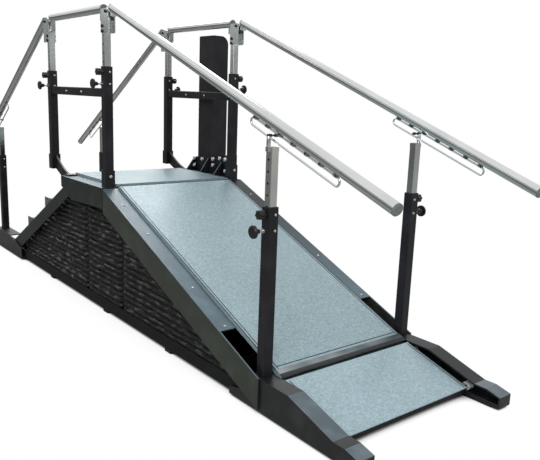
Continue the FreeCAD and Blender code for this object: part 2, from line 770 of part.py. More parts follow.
def make_bracket():
    back = plate([(bracket_start_x, flange_top), (bracket_end_x, flange_top), (bracket_end_x, bracket_high),
                  (bracket_rise_x, bracket_low), (bracket_start_x, flange_top + rib_depth)],
                 column_front - bracket_wall, column_front)
    pieces = [back]
    for x in rib_places:
        points = [V(x, column_front - bracket_wall, flange_top), V(x, column_front - bracket_wall - rib_depth, flange_top),
                  V(x, column_front - bracket_wall, flange_top + rib_height)]
        pieces.append(Part.Face(Part.makePolygon(points + points[:1])).extrude(V(rib_wall, 0, 0)))
    return [fuse(pieces)]


nodes["column_bracket"] = make_bracket()

# Lift actuator: barrel and motor head hung from the top of the column
barrel_top = column_top - column_wall
motor = box(mast_x - mast_width / 2, screw_x + barrel_radius, column_front + column_wall, column_back - column_round,
            barrel_top - motor_height, barrel_top)
barrel = Part.makeCylinder(barrel_radius, barrel_top - barrel_bottom - motor_height / 2, V(screw_x, column_mid_y, barrel_bottom))
bore = Part.makeCylinder(barrel_bore, barrel_top - barrel_bottom - motor_height, V(screw_x, column_mid_y, barrel_bottom))
nodes["lift_actuator"] = [fuse([motor, barrel]).cut(bore)]


# Ramp, drawn flat along +X from its hinge, then laid down the slope
def down_ramp(shape):
    return slope(shape, hinge_x, hinge_z, degrees(ramp_pitch), 1, 0)


ramp_deck_start = 2 * hinge_radius
ramp_frame_start = 18.0
ramp_deck_bottom = hinge_drop - deck_wall
ramp_arm_places = (60.0, 500.0, 900.0)
nodes["ramp_deck"] = [down_ramp(box(ramp_deck_start, ramp_length - ramp_deck_start, -deck_half, deck_half, ramp_deck_bottom, hinge_drop))]


def make_ramp_frame():
    low = ramp_deck_bottom - ramp_frame_depth
    end = ramp_length - ramp_frame_start
    pieces = []
    for side in (-1, 0, 1):
        pieces.append(beam_x(ramp_frame_start, end, side * beam_centre_y, low, ramp_deck_bottom, beam_width))
    for x in (ramp_frame_start, end - arm_width):
        pieces.append(beam_y(x, x + arm_width, -lug_outer, lug_outer, low, ramp_deck_bottom, beam_wall))
    for x in ramp_arm_places:
        pieces.append(beam_y(x, x + arm_width, -plate_inner, plate_inner, low, ramp_deck_bottom, beam_wall))
    leaf_low = -hinge_radius - leaf_wall
    leaf_top = -hinge_radius + fit_gap / 2
    for x, x0, x1 in ((0, 0, ramp_deck_start), (ramp_length, ramp_length - ramp_deck_start, ramp_length)):
        pieces += knuckles(x, 0, 1, hinge_pin + fit_gap / 2)
        pieces += [s.cut(peg(x, 0, hinge_pin + fit_gap / 2, -deck_half, deck_half)) for s in leaves(x0, x1, leaf_low, leaf_top, 1)]
    pieces += leaves(ramp_deck_start, ramp_frame_start + beam_wall, leaf_low, ramp_deck_bottom, 1)
    pieces += leaves(end - beam_wall, ramp_length - ramp_deck_start, leaf_low, ramp_deck_bottom, 1)
    return [down_ramp(fuse(pieces))]


nodes["ramp_frame"] = make_ramp_frame()


def make_ramp_side():
    start_x = platform_plate_end + side_plate_gap
    top_v = ramp_deck_bottom + flange_wall
    upper = on_ramp(ramp_u_at(start_x, top_v), top_v)
    lower = on_ramp(ramp_u_at(start_x, -ramp_plate_depth), -ramp_plate_depth)
    end_upper = on_ramp(ramp_u_at(ramp_plate_end_x, top_v), top_v)
    end_lower = on_ramp(ramp_u_at(ramp_plate_end_x, -ramp_plate_depth), -ramp_plate_depth)
    side = plate([upper, end_upper, end_lower, lower], plate_inner, plate_outer)
    flange_end = ramp_u_at(ramp_flange_end_x, top_v)
    edge = ramp_u_at(start_x, top_v)
    flange = down_ramp(box(edge, flange_end, flange_inner, plate_outer, ramp_deck_bottom, top_v))
    trim = box(start_x, ramp_flange_end_x, flange_inner, plate_outer, 0, platform_top + flange_wall)
    return fuse([side, flange.common(trim)])


nodes["ramp_side_plates"] = pair([make_ramp_side()])
nosing_end = ramp_length - hinge_radius
nosing_strip = box(nosing_end - nosing_width, nosing_end, -deck_half, deck_half, hinge_drop, hinge_drop + nosing_wall)
nosing_lip = box(ramp_length - ramp_deck_start, nosing_end, -deck_half, deck_half, hinge_radius + fit_gap, hinge_drop + nosing_wall)
nodes["ramp_nosing"] = [down_ramp(fuse([nosing_strip, nosing_lip]))]


# Flap: hinged at the foot of the ramp, carried on rollers in the ramp feet
def down_flap(shape):
    return slope(shape, knee_x, knee_height, degrees(flap_pitch), 1, 0)


toe_wall = 4.0
toe_length = 56.0
toe_overhang = 4.0
toe_end = flap_length + toe_overhang
toe_bar_length = 20.0
toe_bar_depth = 25.0
toe_start = toe_end - toe_length
flap_panel = plate([(ramp_deck_start, ramp_deck_bottom), (ramp_deck_start, hinge_drop), (toe_end, hinge_drop),
                    (toe_end, hinge_drop - toe_wall), (toe_start, ramp_deck_bottom)], -deck_half, deck_half)
nodes["flap_panel"] = [down_flap(flap_panel)]
flap_frame_depth = 26.0
axle_radius = 6.0
axle_reach = 22.0
axle_end = post_y + axle_reach
arm_wall = 20.0
arm_inner = lug_outer - arm_wall
knee_roller_offset = 15.0
knee_roller_x = knee_x + knee_roller_offset
knee_roller_z = channel_top + roller_radius + roller_play
flap_roller_radius = 16.0
flap_roller_inset = 13.39
flap_roller_x = flap_end_x - flap_roller_inset
flap_roller_z = channel_bottom + flap_roller_radius + roller_play
roller_half = 14.0
roller_inner = post_y - roller_half
roller_outer = post_y + roller_half


def make_flap_frame():
    low = ramp_deck_bottom - flap_frame_depth
    pieces = [beam_y(ramp_frame_start, ramp_frame_start + arm_width, -lug_outer, lug_outer, low, ramp_deck_bottom, beam_wall)]
    pieces.append(beam_y(toe_start - 2 * arm_width, toe_start - arm_width, -lug_outer, lug_outer, low, ramp_deck_bottom, beam_wall))
    pieces += knuckles(0, 0, 0, 0)
    pieces += leaves(0, ramp_deck_start, -hinge_radius - leaf_wall, -hinge_radius + fit_gap / 2, 0)
    pieces += leaves(ramp_deck_start, ramp_frame_start + beam_wall, -hinge_radius - leaf_wall, ramp_deck_bottom, 0)
    pieces.append(peg(0, 0, hinge_pin, -deck_half, deck_half))
    placed = [down_flap(p) for p in pieces]
    deck_line = knee_height - flange_wall * 2
    for side in (-1, 1):
        y0 = arm_inner if side > 0 else -lug_outer
        outline = [(knee_roller_x - axle_radius * 2, knee_roller_z - axle_radius * 2),
                   (knee_roller_x + axle_radius * 2, knee_roller_z - axle_radius * 2),
                   (flap_roller_x + axle_radius * 2, flap_roller_z - axle_radius),
                   (flap_roller_x + axle_radius * 2, flap_roller_z + axle_radius * 2),
                   (knee_roller_x - axle_radius * 2, deck_line - (knee_roller_x - axle_radius * 2 - knee_x) * tan(flap_pitch) - leaf_wall)]
        placed.append(plate(outline, y0, y0 + lug_outer - arm_inner))
    for x, z in ((knee_roller_x, knee_roller_z), (flap_roller_x, flap_roller_z)):
        placed += pair([peg(x, z, axle_radius, arm_inner, axle_end)])
    panel_space = down_flap(box(ramp_deck_start, toe_end, -deck_half, deck_half, ramp_deck_bottom, hinge_drop + deck_wall))
    toe_bar = box(toe_end - toe_bar_length, toe_end, -lug_outer, lug_outer, hinge_drop - toe_bar_depth, hinge_drop - toe_wall)
    return [fuse([fuse(placed).cut(panel_space), down_flap(toe_bar.cut(flap_panel))])]


nodes["flap_frame"] = make_flap_frame()
axle_bore = axle_radius + fit_gap / 3
nodes["knee_rollers"] = pair([ring(knee_roller_x, knee_roller_z, roller_radius, axle_bore, roller_inner, roller_outer)])
nodes["flap_rollers"] = pair([ring(flap_roller_x, flap_roller_z, flap_roller_radius, axle_bore, roller_inner, roller_outer)])

# Stairs: stringers, the links that keep the treads level, the treads and the roller carriage
def make_stringer():
    outline = [on_stairs(-stringer_end, -stringer_depth), on_stairs(-stringer_end, stringer_above - stringer_end / 2),
               on_stairs(-stringer_end / 2, stringer_above), on_stairs(stair_length + stringer_end / 2, stringer_above + pin_radius * 2),
               on_stairs(stair_length + stringer_end, stringer_above), on_stairs(stair_length + stringer_end, -stringer_depth + stringer_end)]
    outline.append(on_stairs(stair_length, -stringer_depth))
    bar = plate(outline, stringer_outer - stringer_wall, stringer_outer)
    for i in range(moving_steps + 1):
        x, z = on_stairs(i * stair_length / moving_steps, 0)
        bar = bar.cut(peg(x, z, pin_radius + fit_gap / 3, stringer_outer - stringer_wall, stringer_outer))
    return bar


nodes["stair_stringers"] = pair([make_stringer()])


def make_link():
    start = V(stair_pivot_x, link_outer - link_wall, stair_pivot_z - link_drop)
    bar = box(-link_half, stair_length + link_half, 0, link_wall, -link_half, link_half)
    ends = [e for e in bar.Edges if abs(e.tangentAt(e.FirstParameter).y) > fit_gap]
    bar = bar.makeFillet(link_half - fit_gap, ends)
    bar = slope(bar, start.x, start.z, degrees(stair_pitch), -1, start.y)
    for i in range(moving_steps + 1):
        x, z = on_stairs(i * stair_length / moving_steps, 0)
        bar = bar.cut(peg(x, z - link_drop, link_pin + fit_gap / 3, start.y, link_outer))
    return bar


nodes["stair_links"] = pair([make_link()])
tooth_drop = 5.0
wing_wall = 6.0


def make_tread(index):
    """Panel, saw-tooth side plates that pivot on the stringers and lugs for the links."""
    nosing = stair_edge_x - index * tread_going
    level = platform_top - index * step_rise
    pivot_x, pivot_z = on_stairs(index * stair_length / moving_steps, 0)
    panel = box(nosing, nosing + tread_depth, -deck_half, deck_half, level - tread_wall, level)
    lead = [e for e in panel.Edges if abs(e.CenterOfMass.x - nosing) < fit_gap and e.CenterOfMass.z > level - fit_gap]
    pieces = [panel.makeFillet(flange_wall, lead)]
    wing = box(nosing, nosing + wing_length, deck_half, tooth_outer, level - tread_wall - wing_wall, level - tread_wall)
    under = box(nosing, nosing + wing_length, deck_half - lug_wall, deck_half, level - tread_wall - wing_wall, level - tread_wall)
    tooth = plate([(nosing, level - tooth_drop), (nosing + tooth_length, level - tooth_drop),
                   (nosing + tooth_length, level - tread_wall - wing_wall), (pivot_x + pin_radius * 2, pivot_z - pin_radius * 2),
                   (pivot_x - pin_radius * 2, pivot_z - pin_radius * 2), (nosing, pivot_z)], tooth_outer - tooth_wall, tooth_outer)
    pin = peg(pivot_x, pivot_z, pin_radius, tooth_outer, stringer_outer + fit_gap)
    lug = plate([(pivot_x - pin_radius * 2, level - tread_wall), (pivot_x + pin_radius * 2, level - tread_wall),
                 (pivot_x + pin_radius * 2, pivot_z - link_drop - pin_radius * 2),
                 (pivot_x - pin_radius * 2, pivot_z - link_drop - pin_radius * 2)], lug_outer - lug_wall, lug_outer)
    link_peg = peg(pivot_x, pivot_z - link_drop, link_pin, lug_outer, link_outer + fit_gap)
    pieces += pair([wing, under, tooth, pin, lug, link_peg])
    return [fuse(pieces)]


nodes["tread_upper"] = make_tread(1)
nodes["tread_lower"] = make_tread(2)


def make_carriage():
    lug = plate([(foot_pivot_x - pin_radius * 2, foot_pivot_z + pin_radius * 2), (foot_pivot_x + pin_radius * 2, foot_pivot_z + pin_radius * 2),
                 (foot_pivot_x + pin_radius * 2, foot_pivot_z - link_drop - pin_radius * 2),
                 (foot_pivot_x - pin_radius * 2, foot_pivot_z - link_drop - pin_radius * 2)], lug_outer - lug_wall, lug_outer)
    axle = peg(foot_pivot_x, foot_pivot_z, pin_radius, lug_outer - lug_wall, stringer_outer + fit_gap)
    link_peg = peg(foot_pivot_x, foot_pivot_z - link_drop, link_pin, lug_outer, link_outer + fit_gap)
    return fuse([lug, axle, link_peg])


nodes["stair_carriages"] = pair([make_carriage()])
nodes["stair_rollers"] = pair([ring(foot_pivot_x, foot_pivot_z, roller_radius, pin_radius + fit_gap / 3, roller_inner, roller_outer)])


# Inner tubes with index holes
def make_inner_tube(x, y, top, outer_top):
    tube = square_tube(x, y, tube_size, tube_wall, tube_round, outer_top - tube_overlap, top)
    for i in range(index_count):
        tube = tube.cut(faceted(x, top - index_first - i * index_pitch, index_hole, hole_sides, y, y + tube_size))
    return tube


def head_plates(x0, x1, z0, z1, pivot_x):
    """Two cheeks that clamp the top of an inner tube and carry the rail pivot."""
    inner = tube_size / 2
    cheek = box(x0, x1, post_y + inner, post_y + inner + head_plate_wall, z0, z1)
    cheek = cheek.makeFillet(post_round * 2, [e for e in cheek.Edges if abs(e.tangentAt(e.FirstParameter).y) > fit_gap])
    other = cheek.copy()
    other.translate(V(0, -tube_size - head_plate_wall, 0))
    bolt = peg(pivot_x, rail_pivot_z, pivot_bolt, post_y - inner - head_plate_wall, post_y + inner + head_plate_wall)
    return [cheek, other, bolt]


head_reach = 18.0
head_below = 56.0


def make_landing_tubes():
    right = rail_pivot_x
    left = edge_post_x - rail_pivot_x
    head = [make_inner_tube(head_post_x, post_y, head_tube_top, head_post_top)]
    head += head_plates(head_post_x - tube_size / 2, right + head_reach, head_tube_top - head_below, rail_pivot_z + lug_eye, right)
    edge = [make_inner_tube(edge_post_x, post_y, edge_tube_top, edge_post_top)]
    edge += head_plates(left - head_reach, edge_post_x + tube_size / 2, edge_tube_top - head_below, rail_pivot_z + lug_eye, left)
    return [fuse(head), fuse(edge)]


def rail_tube(start, end, v):
    """Extruded handrail along +X with two shallow flutes and a cap at each end."""
    body = Part.makeCylinder(rail_radius, end - start - 2 * cap_length, V(start + cap_length, 0, v), V(1, 0, 0))
    hollow = Part.makeCylinder(rail_radius - rail_wall, end - start - 2 * cap_length, V(start + cap_length, 0, v), V(1, 0, 0))
    body = body.cut(hollow)
    for side in (-1, 1):
        y0 = side * (rail_radius - flute_depth) if side > 0 else -rail_radius - fit_gap
        body = body.cut(box(start, end, y0, y0 + flute_depth + fit_gap, v + flute_rise, v + flute_rise + flute_width))
    caps = [Part.makeCylinder(rail_radius, cap_length, V(x, 0, v), V(1, 0, 0)) for x in (start, end - cap_length)]
    rounded_caps = []
    for cap, face_x in zip(caps, (start, end)):
        rim = [e for e in cap.Edges if abs(e.CenterOfMass.x - face_x) < fit_gap]
        rounded_caps.append(cap.makeChamfer(cap_edge, rim))
    return [body] + rounded_caps


flute_depth = 1.2
flute_rise = 5.0
flute_width = 2.4


def rail_lug(v):
    """Saddle and eye under the high end of a sloping rail."""
    eye = peg(0, 0, lug_eye, -lug_thick / 2, lug_thick / 2)
    neck = box(0, lug_eye * 4, -lug_thick / 2, lug_thick / 2, -lug_eye + flange_wall, v - rail_radius + flange_wall)
    neck = neck.cut(Part.makeCylinder(rail_radius, lug_eye * 8, V(-lug_eye, 0, v), V(1, 0, 0)))
    lug = fuse([eye, neck]).cut(Part.makeCylinder(rail_radius, lug_eye * 8, V(-lug_eye * 2, 0, v), V(1, 0, 0)))
    return lug.cut(peg(0, 0, pivot_bolt + fit_gap / 3, -lug_thick, lug_thick))


def rod_loop(start, end, upper, lower):
    """Closed loop of round rod, two long strands with half-circle ends."""
    radius = (lower - upper) / 2
    middle = -(upper + lower) / 2
    a = V(start + radius, 0, -upper)
    b = V(end - radius, 0, -upper)
    c = V(end - radius, 0, -lower)
    d = V(start + radius, 0, -lower)
    edges = [Part.LineSegment(a, b), Part.Arc(b, V(end, 0, middle), c), Part.LineSegment(c, d), Part.Arc(d, V(start, 0, middle), a)]
    wire = Part.Wire([e.toShape() for e in edges])
    turns = [radians((i + 0.5) * 360 / rod_sides) for i in range(rod_sides + 1)]
    section = Part.makePolygon([V(a.x, rod_radius * cos(t), a.z + rod_radius * sin(t)) for t in turns])
    return wire.makePipeShell([section], True, False)


def hung_loop(start, end, upper, lower, v):
    loop = rod_loop(start, end, upper, lower)
    radius = (lower - upper) / 2
    clips = []
    spacing = (end - start - 2 * radius - clip_length) / (clip_count - 1)
    for i in range(clip_count):
        x = start + radius + i * spacing
        clip = box(x, x + clip_length, -clip_half, clip_half, -upper - rod_radius / 2, -rail_radius + rod_radius)
        clip = clip.cut(Part.makeCylinder(rail_radius, clip_length, V(x, 0, 0), V(1, 0, 0)))
        clips.append(clip)
    result = fuse([loop] + clips)
    result.translate(V(0, 0, v))
    return result


def make_sloping_rail(end):
    tube = rail_tube(rail_start, end, rail_rise)
    return tube + [rail_lug(rail_rise)]


def lay_rail(shapes, x, pitch, facing):
    return [slope(s, x, rail_pivot_z, pitch, facing, post_y) for s in shapes]


def make_landing_rail():
    left = edge_post_x + rail_radius
    right = head_post_x - tube_size / 2 - fit_gap
    parts = rail_tube(left, right, rail_axis_z)
    placed = []
    for p in parts:
        p.translate(V(0, post_y, 0))
        placed.append(p)
    for x, top in ((head_post_x - tube_size / 2, head_tube_top), (edge_post_x + tube_size / 2, edge_tube_top)):
        x0 = x if x < edge_post_x / 2 else x - landing_lug_length
        x0 = x0 - tube_size / 2 if x < edge_post_x / 2 else x0 + tube_size / 2
        lug = box(x0, x0 + landing_lug_length, post_y - lug_thick / 2, post_y + lug_thick / 2, top, rail_axis_z)
        placed.append(lug.cut(Part.makeCylinder(rail_radius, -edge_post_x * 2, V(edge_post_x * 2, post_y, rail_axis_z), V(1, 0, 0))))
    return placed


landing_lug_length = 44.0
hook_play = 13.0


def hook_gap(pitch, lower):
    """Room under the hook pin for the lower strand and its slope across the block."""
    strand = ((lower - loop_upper) / 2 + rod_radius) / cos(radians(pitch))
    return strand + hook_block / 2 * tan(radians(pitch)) + hook_play


def hook_line(x, pivot_x, pitch, lower):
    """Height of the hook pin under a sloping rail, between the strands."""
    drop = (loop_upper + lower) / 2 - rail_rise
    return rail_pivot_z - abs(x - pivot_x) * tan(radians(pitch)) - drop / cos(radians(pitch))


def make_hook_tube(x, outer_top, pin_z, gap):
    tube_top = pin_z - gap - hook_block_height
    tube = make_inner_tube(x, post_y, tube_top, outer_top)
    block = rounded(x, post_y, hook_block, hook_block, post_round, tube_top, tube_top + hook_block_height)
    ear = box(x - hook_radius * 2, x + hook_radius * 2, post_y, post_y + hook_leg + hook_radius * 2, tube_top, tube_top + hook_block_height)
    bend = hook_radius * 2
    leg_y = post_y + hook_leg + hook_radius / 2
    low = V(x, leg_y, tube_top + hook_block_height)
    turn = V(x, leg_y, pin_z - bend)
    flat = V(x, leg_y - bend, pin_z)
    tip = V(x, post_y - hook_leg, pin_z)
    middle = V(x, leg_y - bend + bend * sin(radians(45)), pin_z - bend + bend * sin(radians(45)))
    path = Part.Wire([Part.LineSegment(low, turn).toShape(), Part.Arc(turn, middle, flat).toShape(), Part.LineSegment(flat, tip).toShape()])
    turns = [radians((i + 0.5) * 360 / rod_sides) for i in range(rod_sides + 1)]
    section = Part.makePolygon([V(low.x + rod_radius * cos(t), low.y + rod_radius * sin(t), low.z) for t in turns])
    hook = path.makePipeShell([section], True, False)
    bead = faceted(x, pin_z, hook_radius + rod_radius / 2, rod_sides, tip.y - rod_radius, tip.y)
    return [tube, fuse([block, ear]), hook, bead]


hook_block_height = 14.0
ramp_hook_z = hook_line(ramp_post_x, rail_pivot_x, ramp_rail_angle, ramp_loop_lower)
stair_hook_z = hook_line(stair_post_x, edge_post_x - rail_pivot_x, stair_rail_angle, stair_loop_lower)


def make_clamp(x, top):
    """Round clamp knob on a screw that bears on the inner tube."""
    z = top - knob_drop
    face = post_y + post_size / 2
    stem = peg(x, z, knob_stem, post_y + tube_size / 2 + fit_gap, face + knob_reach)
    outline = []
    for i in range(4 * knob_lobes):
        reach = knob_radius if i % 4 < 2 else knob_radius * knob_notch_share
        outline.append((x + reach * cos(radians(90 * i / knob_lobes)), z + reach * sin(radians(90 * i / knob_lobes))))
    knob = plate(outline, face + knob_reach - post_wall, face + knob_reach + knob_length)
    return fuse([stem, knob])


knob_lobes = 6
knob_notch_share = 0.82


def make_plunger(x, top):
    """Mushroom pull knob on the spring pin that drops into an index hole."""
    z = top - plunger_drop
    face = post_y + post_size / 2
    stem = peg(x, z, plunger_stem, post_y + tube_size / 2 + fit_gap, face + plunger_reach)
    hub = Part.makeCone(plunger_neck, plunger_hub, plunger_hub_length, V(x, face + plunger_reach - plunger_hub_length, z), V(0, 1, 0))
    cap = peg(x, z, plunger_radius, face + plunger_reach, face + plunger_reach + plunger_cap)
    rim = [e for e in cap.Edges if e.CenterOfMass.y > face + plunger_reach + plunger_cap - fit_gap and e.BoundBox.YLength < fit_gap]
    return fuse([stem, hub, cap.makeChamfer(cap_edge, rim)])


post_knobs = (("ramp_foot", ramp_post_x, ramp_post_top), ("stair_foot", stair_post_x, stair_post_top),
              ("ramp_head", head_post_x, head_post_top), ("stair_head", edge_post_x, edge_post_top))

far_nodes = {}
far_nodes["landing_tubes"] = make_landing_tubes()
far_nodes["landing_rail"] = make_landing_rail()
far_nodes["ramp_rail"] = lay_rail(make_sloping_rail(ramp_rail_length), rail_pivot_x, ramp_rail_angle, 1)
far_nodes["ramp_loop"] = lay_rail([hung_loop(ramp_loop_start, ramp_loop_end, loop_upper, ramp_loop_lower, rail_rise)],
                                  rail_pivot_x, ramp_rail_angle, 1)
far_nodes["stair_rail"] = lay_rail(make_sloping_rail(stair_rail_length)
                                   + [hung_loop(stair_loop_start, stair_loop_end, loop_upper, stair_loop_lower, rail_rise)],
                                   edge_post_x - rail_pivot_x, stair_rail_angle, -1)
far_nodes["foot_tubes"] = (make_hook_tube(ramp_post_x, ramp_post_top, ramp_hook_z, hook_gap(ramp_rail_angle, ramp_loop_lower))
                           + make_hook_tube(stair_post_x, stair_post_top, stair_hook_z, hook_gap(stair_rail_angle, stair_loop_lower)))
for label, knob_x, knob_top in post_knobs:
    far_nodes["clamp_" + label] = [make_clamp(knob_x, knob_top)]
    far_nodes["plunger_" + label] = [make_plunger(knob_x, knob_top)]

for name, solids in far_nodes.items():
    nodes[name + "_far"] = solids
    nodes[name + "_near"] = [mirror(s) for s in solids]

# Move the whole to the middle of its footprint, standing on z = 0
whole = Part.makeCompound([s for solids in nodes.values() for s in solids])
bounds = whole.optimalBoundingBox(False, False)
shift = V(-(bounds.XMin + bounds.XMax) / 2, -(bounds.YMin + bounds.YMax) / 2, -bounds.ZMin)
os.makedirs("parts", exist_ok=True)
for name, solids in nodes.items():
    shape = Part.makeCompound([t for s in solids for t in s.Solids])
    shape.translate(shift)
    shape.exportStep("parts/" + name + ".step")
print("nodes", len(nodes), "solids", sum(len(s.Solids) for v in nodes.values() for s in v))
print("shift", shift, "size", bounds.XLength, bounds.YLength, bounds.ZLength)
print("ramp pitch", degrees(ramp_pitch), "knee", knee_x, "stair pitch", degrees(stair_pitch), "hooks", ramp_hook_z, stair_hook_z)
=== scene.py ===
# %% [markdown]
# Therapy training stairs. A landing stands between a ramp and a flight of treads, and a lift column lowers
# it until ramp and treads lie flat. The engineering model gives every rigid part its exact place, so this
# lesson keeps those parts, gives each its real finish, and models what a drawing leaves out: the bellows,
# the screws, the edge trims and the round rods. Everything is in metres, in the frame of that model.

import math

import bmesh
import bpy
from mathutils import Matrix, Vector, noise


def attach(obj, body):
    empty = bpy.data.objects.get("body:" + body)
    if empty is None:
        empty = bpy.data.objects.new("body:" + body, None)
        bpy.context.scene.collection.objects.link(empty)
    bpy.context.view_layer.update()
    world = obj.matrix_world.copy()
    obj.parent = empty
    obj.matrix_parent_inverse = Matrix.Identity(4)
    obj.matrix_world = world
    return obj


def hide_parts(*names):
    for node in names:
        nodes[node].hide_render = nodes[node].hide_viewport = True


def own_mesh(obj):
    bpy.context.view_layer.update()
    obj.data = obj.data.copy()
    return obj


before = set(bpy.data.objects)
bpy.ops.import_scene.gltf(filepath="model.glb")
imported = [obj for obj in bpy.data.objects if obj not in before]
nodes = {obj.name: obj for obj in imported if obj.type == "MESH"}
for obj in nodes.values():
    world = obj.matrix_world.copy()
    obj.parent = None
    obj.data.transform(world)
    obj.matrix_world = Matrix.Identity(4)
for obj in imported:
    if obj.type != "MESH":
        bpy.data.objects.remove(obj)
scene = bpy.context.scene
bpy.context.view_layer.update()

# %% [markdown]
# The drawing measures everything in millimetres from the foot of the first landing post. One function turns
# such a measure into a point of the frame, and two more follow the slopes of the ramp and of the handrails,
# so every small piece below is placed by numbers that a fitter could read off the drawing.

# %% Places on the object
ORIGIN = Vector((0.1372477, -0.0345, 0.0))
RAMP_PITCH = math.radians(21.6279)
STAIR_PITCH = math.radians(28.5558)
RAMP_HINGE, RAMP_LENGTH = (22.0, 608.0), 1343.0
STAIR_PIVOT = (-448.0, 558.0)
LANDING_TOP = 620.0
FLANGE_TOP = 609.0
POST_Y, POST_HALF = 350.0, 20.0
RAMP_POST_X, STAIR_POST_X, STAIR_HEAD_X = 1213.0, -1611.0, -673.0
SIDES = (("near", -1), ("far", 1))


def at(x, y, z):
    """A point of the frame from millimetres on the drawing."""
    return ORIGIN + Vector((x, y, z)) / 1000


def on_drawing(point):
    """Millimetres on the drawing from a point of the frame."""
    return (Vector(point) - ORIGIN) * 1000


def on_ramp(along, above, y):
    """A point given down the ramp from its hinge and square to its deck."""
    x = RAMP_HINGE[0] + along * math.cos(RAMP_PITCH) + above * math.sin(RAMP_PITCH)
    z = RAMP_HINGE[1] - along * math.sin(RAMP_PITCH) + above * math.cos(RAMP_PITCH)
    return at(x, y, z)


print("ramp foot at", [round(v, 3) for v in on_ramp(RAMP_LENGTH, 0, 0)])

# %% [markdown]
# The camera stands where the photographer stood: beyond the foot of the ramp, a little above the landing,
# and slightly tilted. Its place came from matching known corners of the object with their places in the
# photograph. Building its matrix from three directions avoids any guess about the order of rotations.

# %% Camera
YAW, DOWN, ROLL = (math.radians(v) for v in (51.149, 11.770, 2.129))
back = Vector((math.sin(YAW) * math.cos(DOWN), -math.cos(YAW) * math.cos(DOWN), math.sin(DOWN)))
level_right = (-back).cross(Vector((0, 0, 1))).normalized()
level_up = level_right.cross(-back)
right = level_right * math.cos(ROLL) + level_up * math.sin(ROLL)
up = level_up * math.cos(ROLL) - level_right * math.sin(ROLL)
camera_data = bpy.data.cameras.new("studio_camera")
camera_data.lens = 43.48
camera_data.sensor_width = 36
camera_data.clip_end = 60
camera = bpy.data.objects.new("studio_camera", camera_data)
camera_turn = Matrix((right, up, back)).transposed().to_4x4()
camera.matrix_world = Matrix.Translation((2.9665, -1.6849, 1.0613)) @ camera_turn
scene.collection.objects.link(camera)
scene.camera = camera
print("camera at", [round(v, 3) for v in camera.location])

# %% [markdown]
# Materials are small node trees. Colours are picked as the hex values a paint card would give and turned to
# linear light once. One function adds a node with its settings and wires its sockets, and where the node is
# a colour ramp it also takes the ramp's stops, so a tree reads from top to bottom. Each finish then starts
# from a shader with the numbers that are the same all over the surface.

# %% Material helpers
def linear(card):
    """Linear colour from a hex value."""
    channels = [int(card[i:i + 2], 16) / 255 for i in (1, 3, 5)]
    return tuple(c / 12.92 if c <= 0.04045 else ((c + 0.055) / 1.055) ** 2.4 for c in channels) + (1.0,)


def add(tree, kind, settings=None, inputs=None, stops=()):
    """Add one node; an input that is given a socket is linked, any other is set."""
    node = tree.nodes.new("ShaderNode" + kind)
    for name, value in (settings or {}).items():
        setattr(node, name, value)
    for key, value in (inputs or {}).items():
        if isinstance(value, bpy.types.NodeSocket):
            tree.links.new(value, node.inputs[key])
        else:
            node.inputs[key].default_value = value
    for i, (place, card) in enumerate(stops):
        if i >= len(node.color_ramp.elements):
            node.color_ramp.elements.new(place)
        node.color_ramp.elements[i].position = place
        node.color_ramp.elements[i].color = linear(card)
    return node


def per_m(grain_mm):
    """The scale of a pattern: how many of its grains fit in a metre."""
    return 1000 / grain_mm


def finish(name, **numbers):
    """A new material, its tree, its shader and the object coordinates."""
    material = bpy.data.materials.new(name)
    material.use_nodes = True
    tree = material.node_tree
    shader = tree.nodes["Principled BSDF"]
    for key, value in numbers.items():
        shader.inputs[key.replace("_", " ")].default_value = value
    return material, tree, shader, add(tree, "TexCoord").outputs["Object"]


def wire(tree, shader, colour, roughness, normal):
    """Lead the three changing properties of a finish into its shader."""
    tree.links.new(colour, shader.inputs["Base Color"])
    tree.links.new(roughness, shader.inputs["Roughness"])
    tree.links.new(normal, shader.inputs["Normal"])


print("material helpers ready")

# %% [markdown]
# Most of the steel is powder coated: a dry paint that melts into a satin skin with a fine orange-peel
# relief. The peel is under a millimetre wide on the real object, too fine to show here, so it is drawn at 4
# mm. A rounded-edge normal gives the bent edges the thin bright line that a sharp mesh edge can't catch,
# and the same node tells the paint where the edges turn paler: partly rubbed paint, partly a painted
# highlight. Hand marks 90 mm across make the gloss uneven. The far flange of the ramp has a painted shade:
# it is dark at the top and paler towards the foot. The tops that face the window mirror it a little bluish.

# %% Powder coats
SKY = (0.80, 0.94, 1.0, 1.0)
PAINT_IOR = 1.5
HAND_MARKS, PEEL, PEEL_DEPTH = 90, 4, 0.25


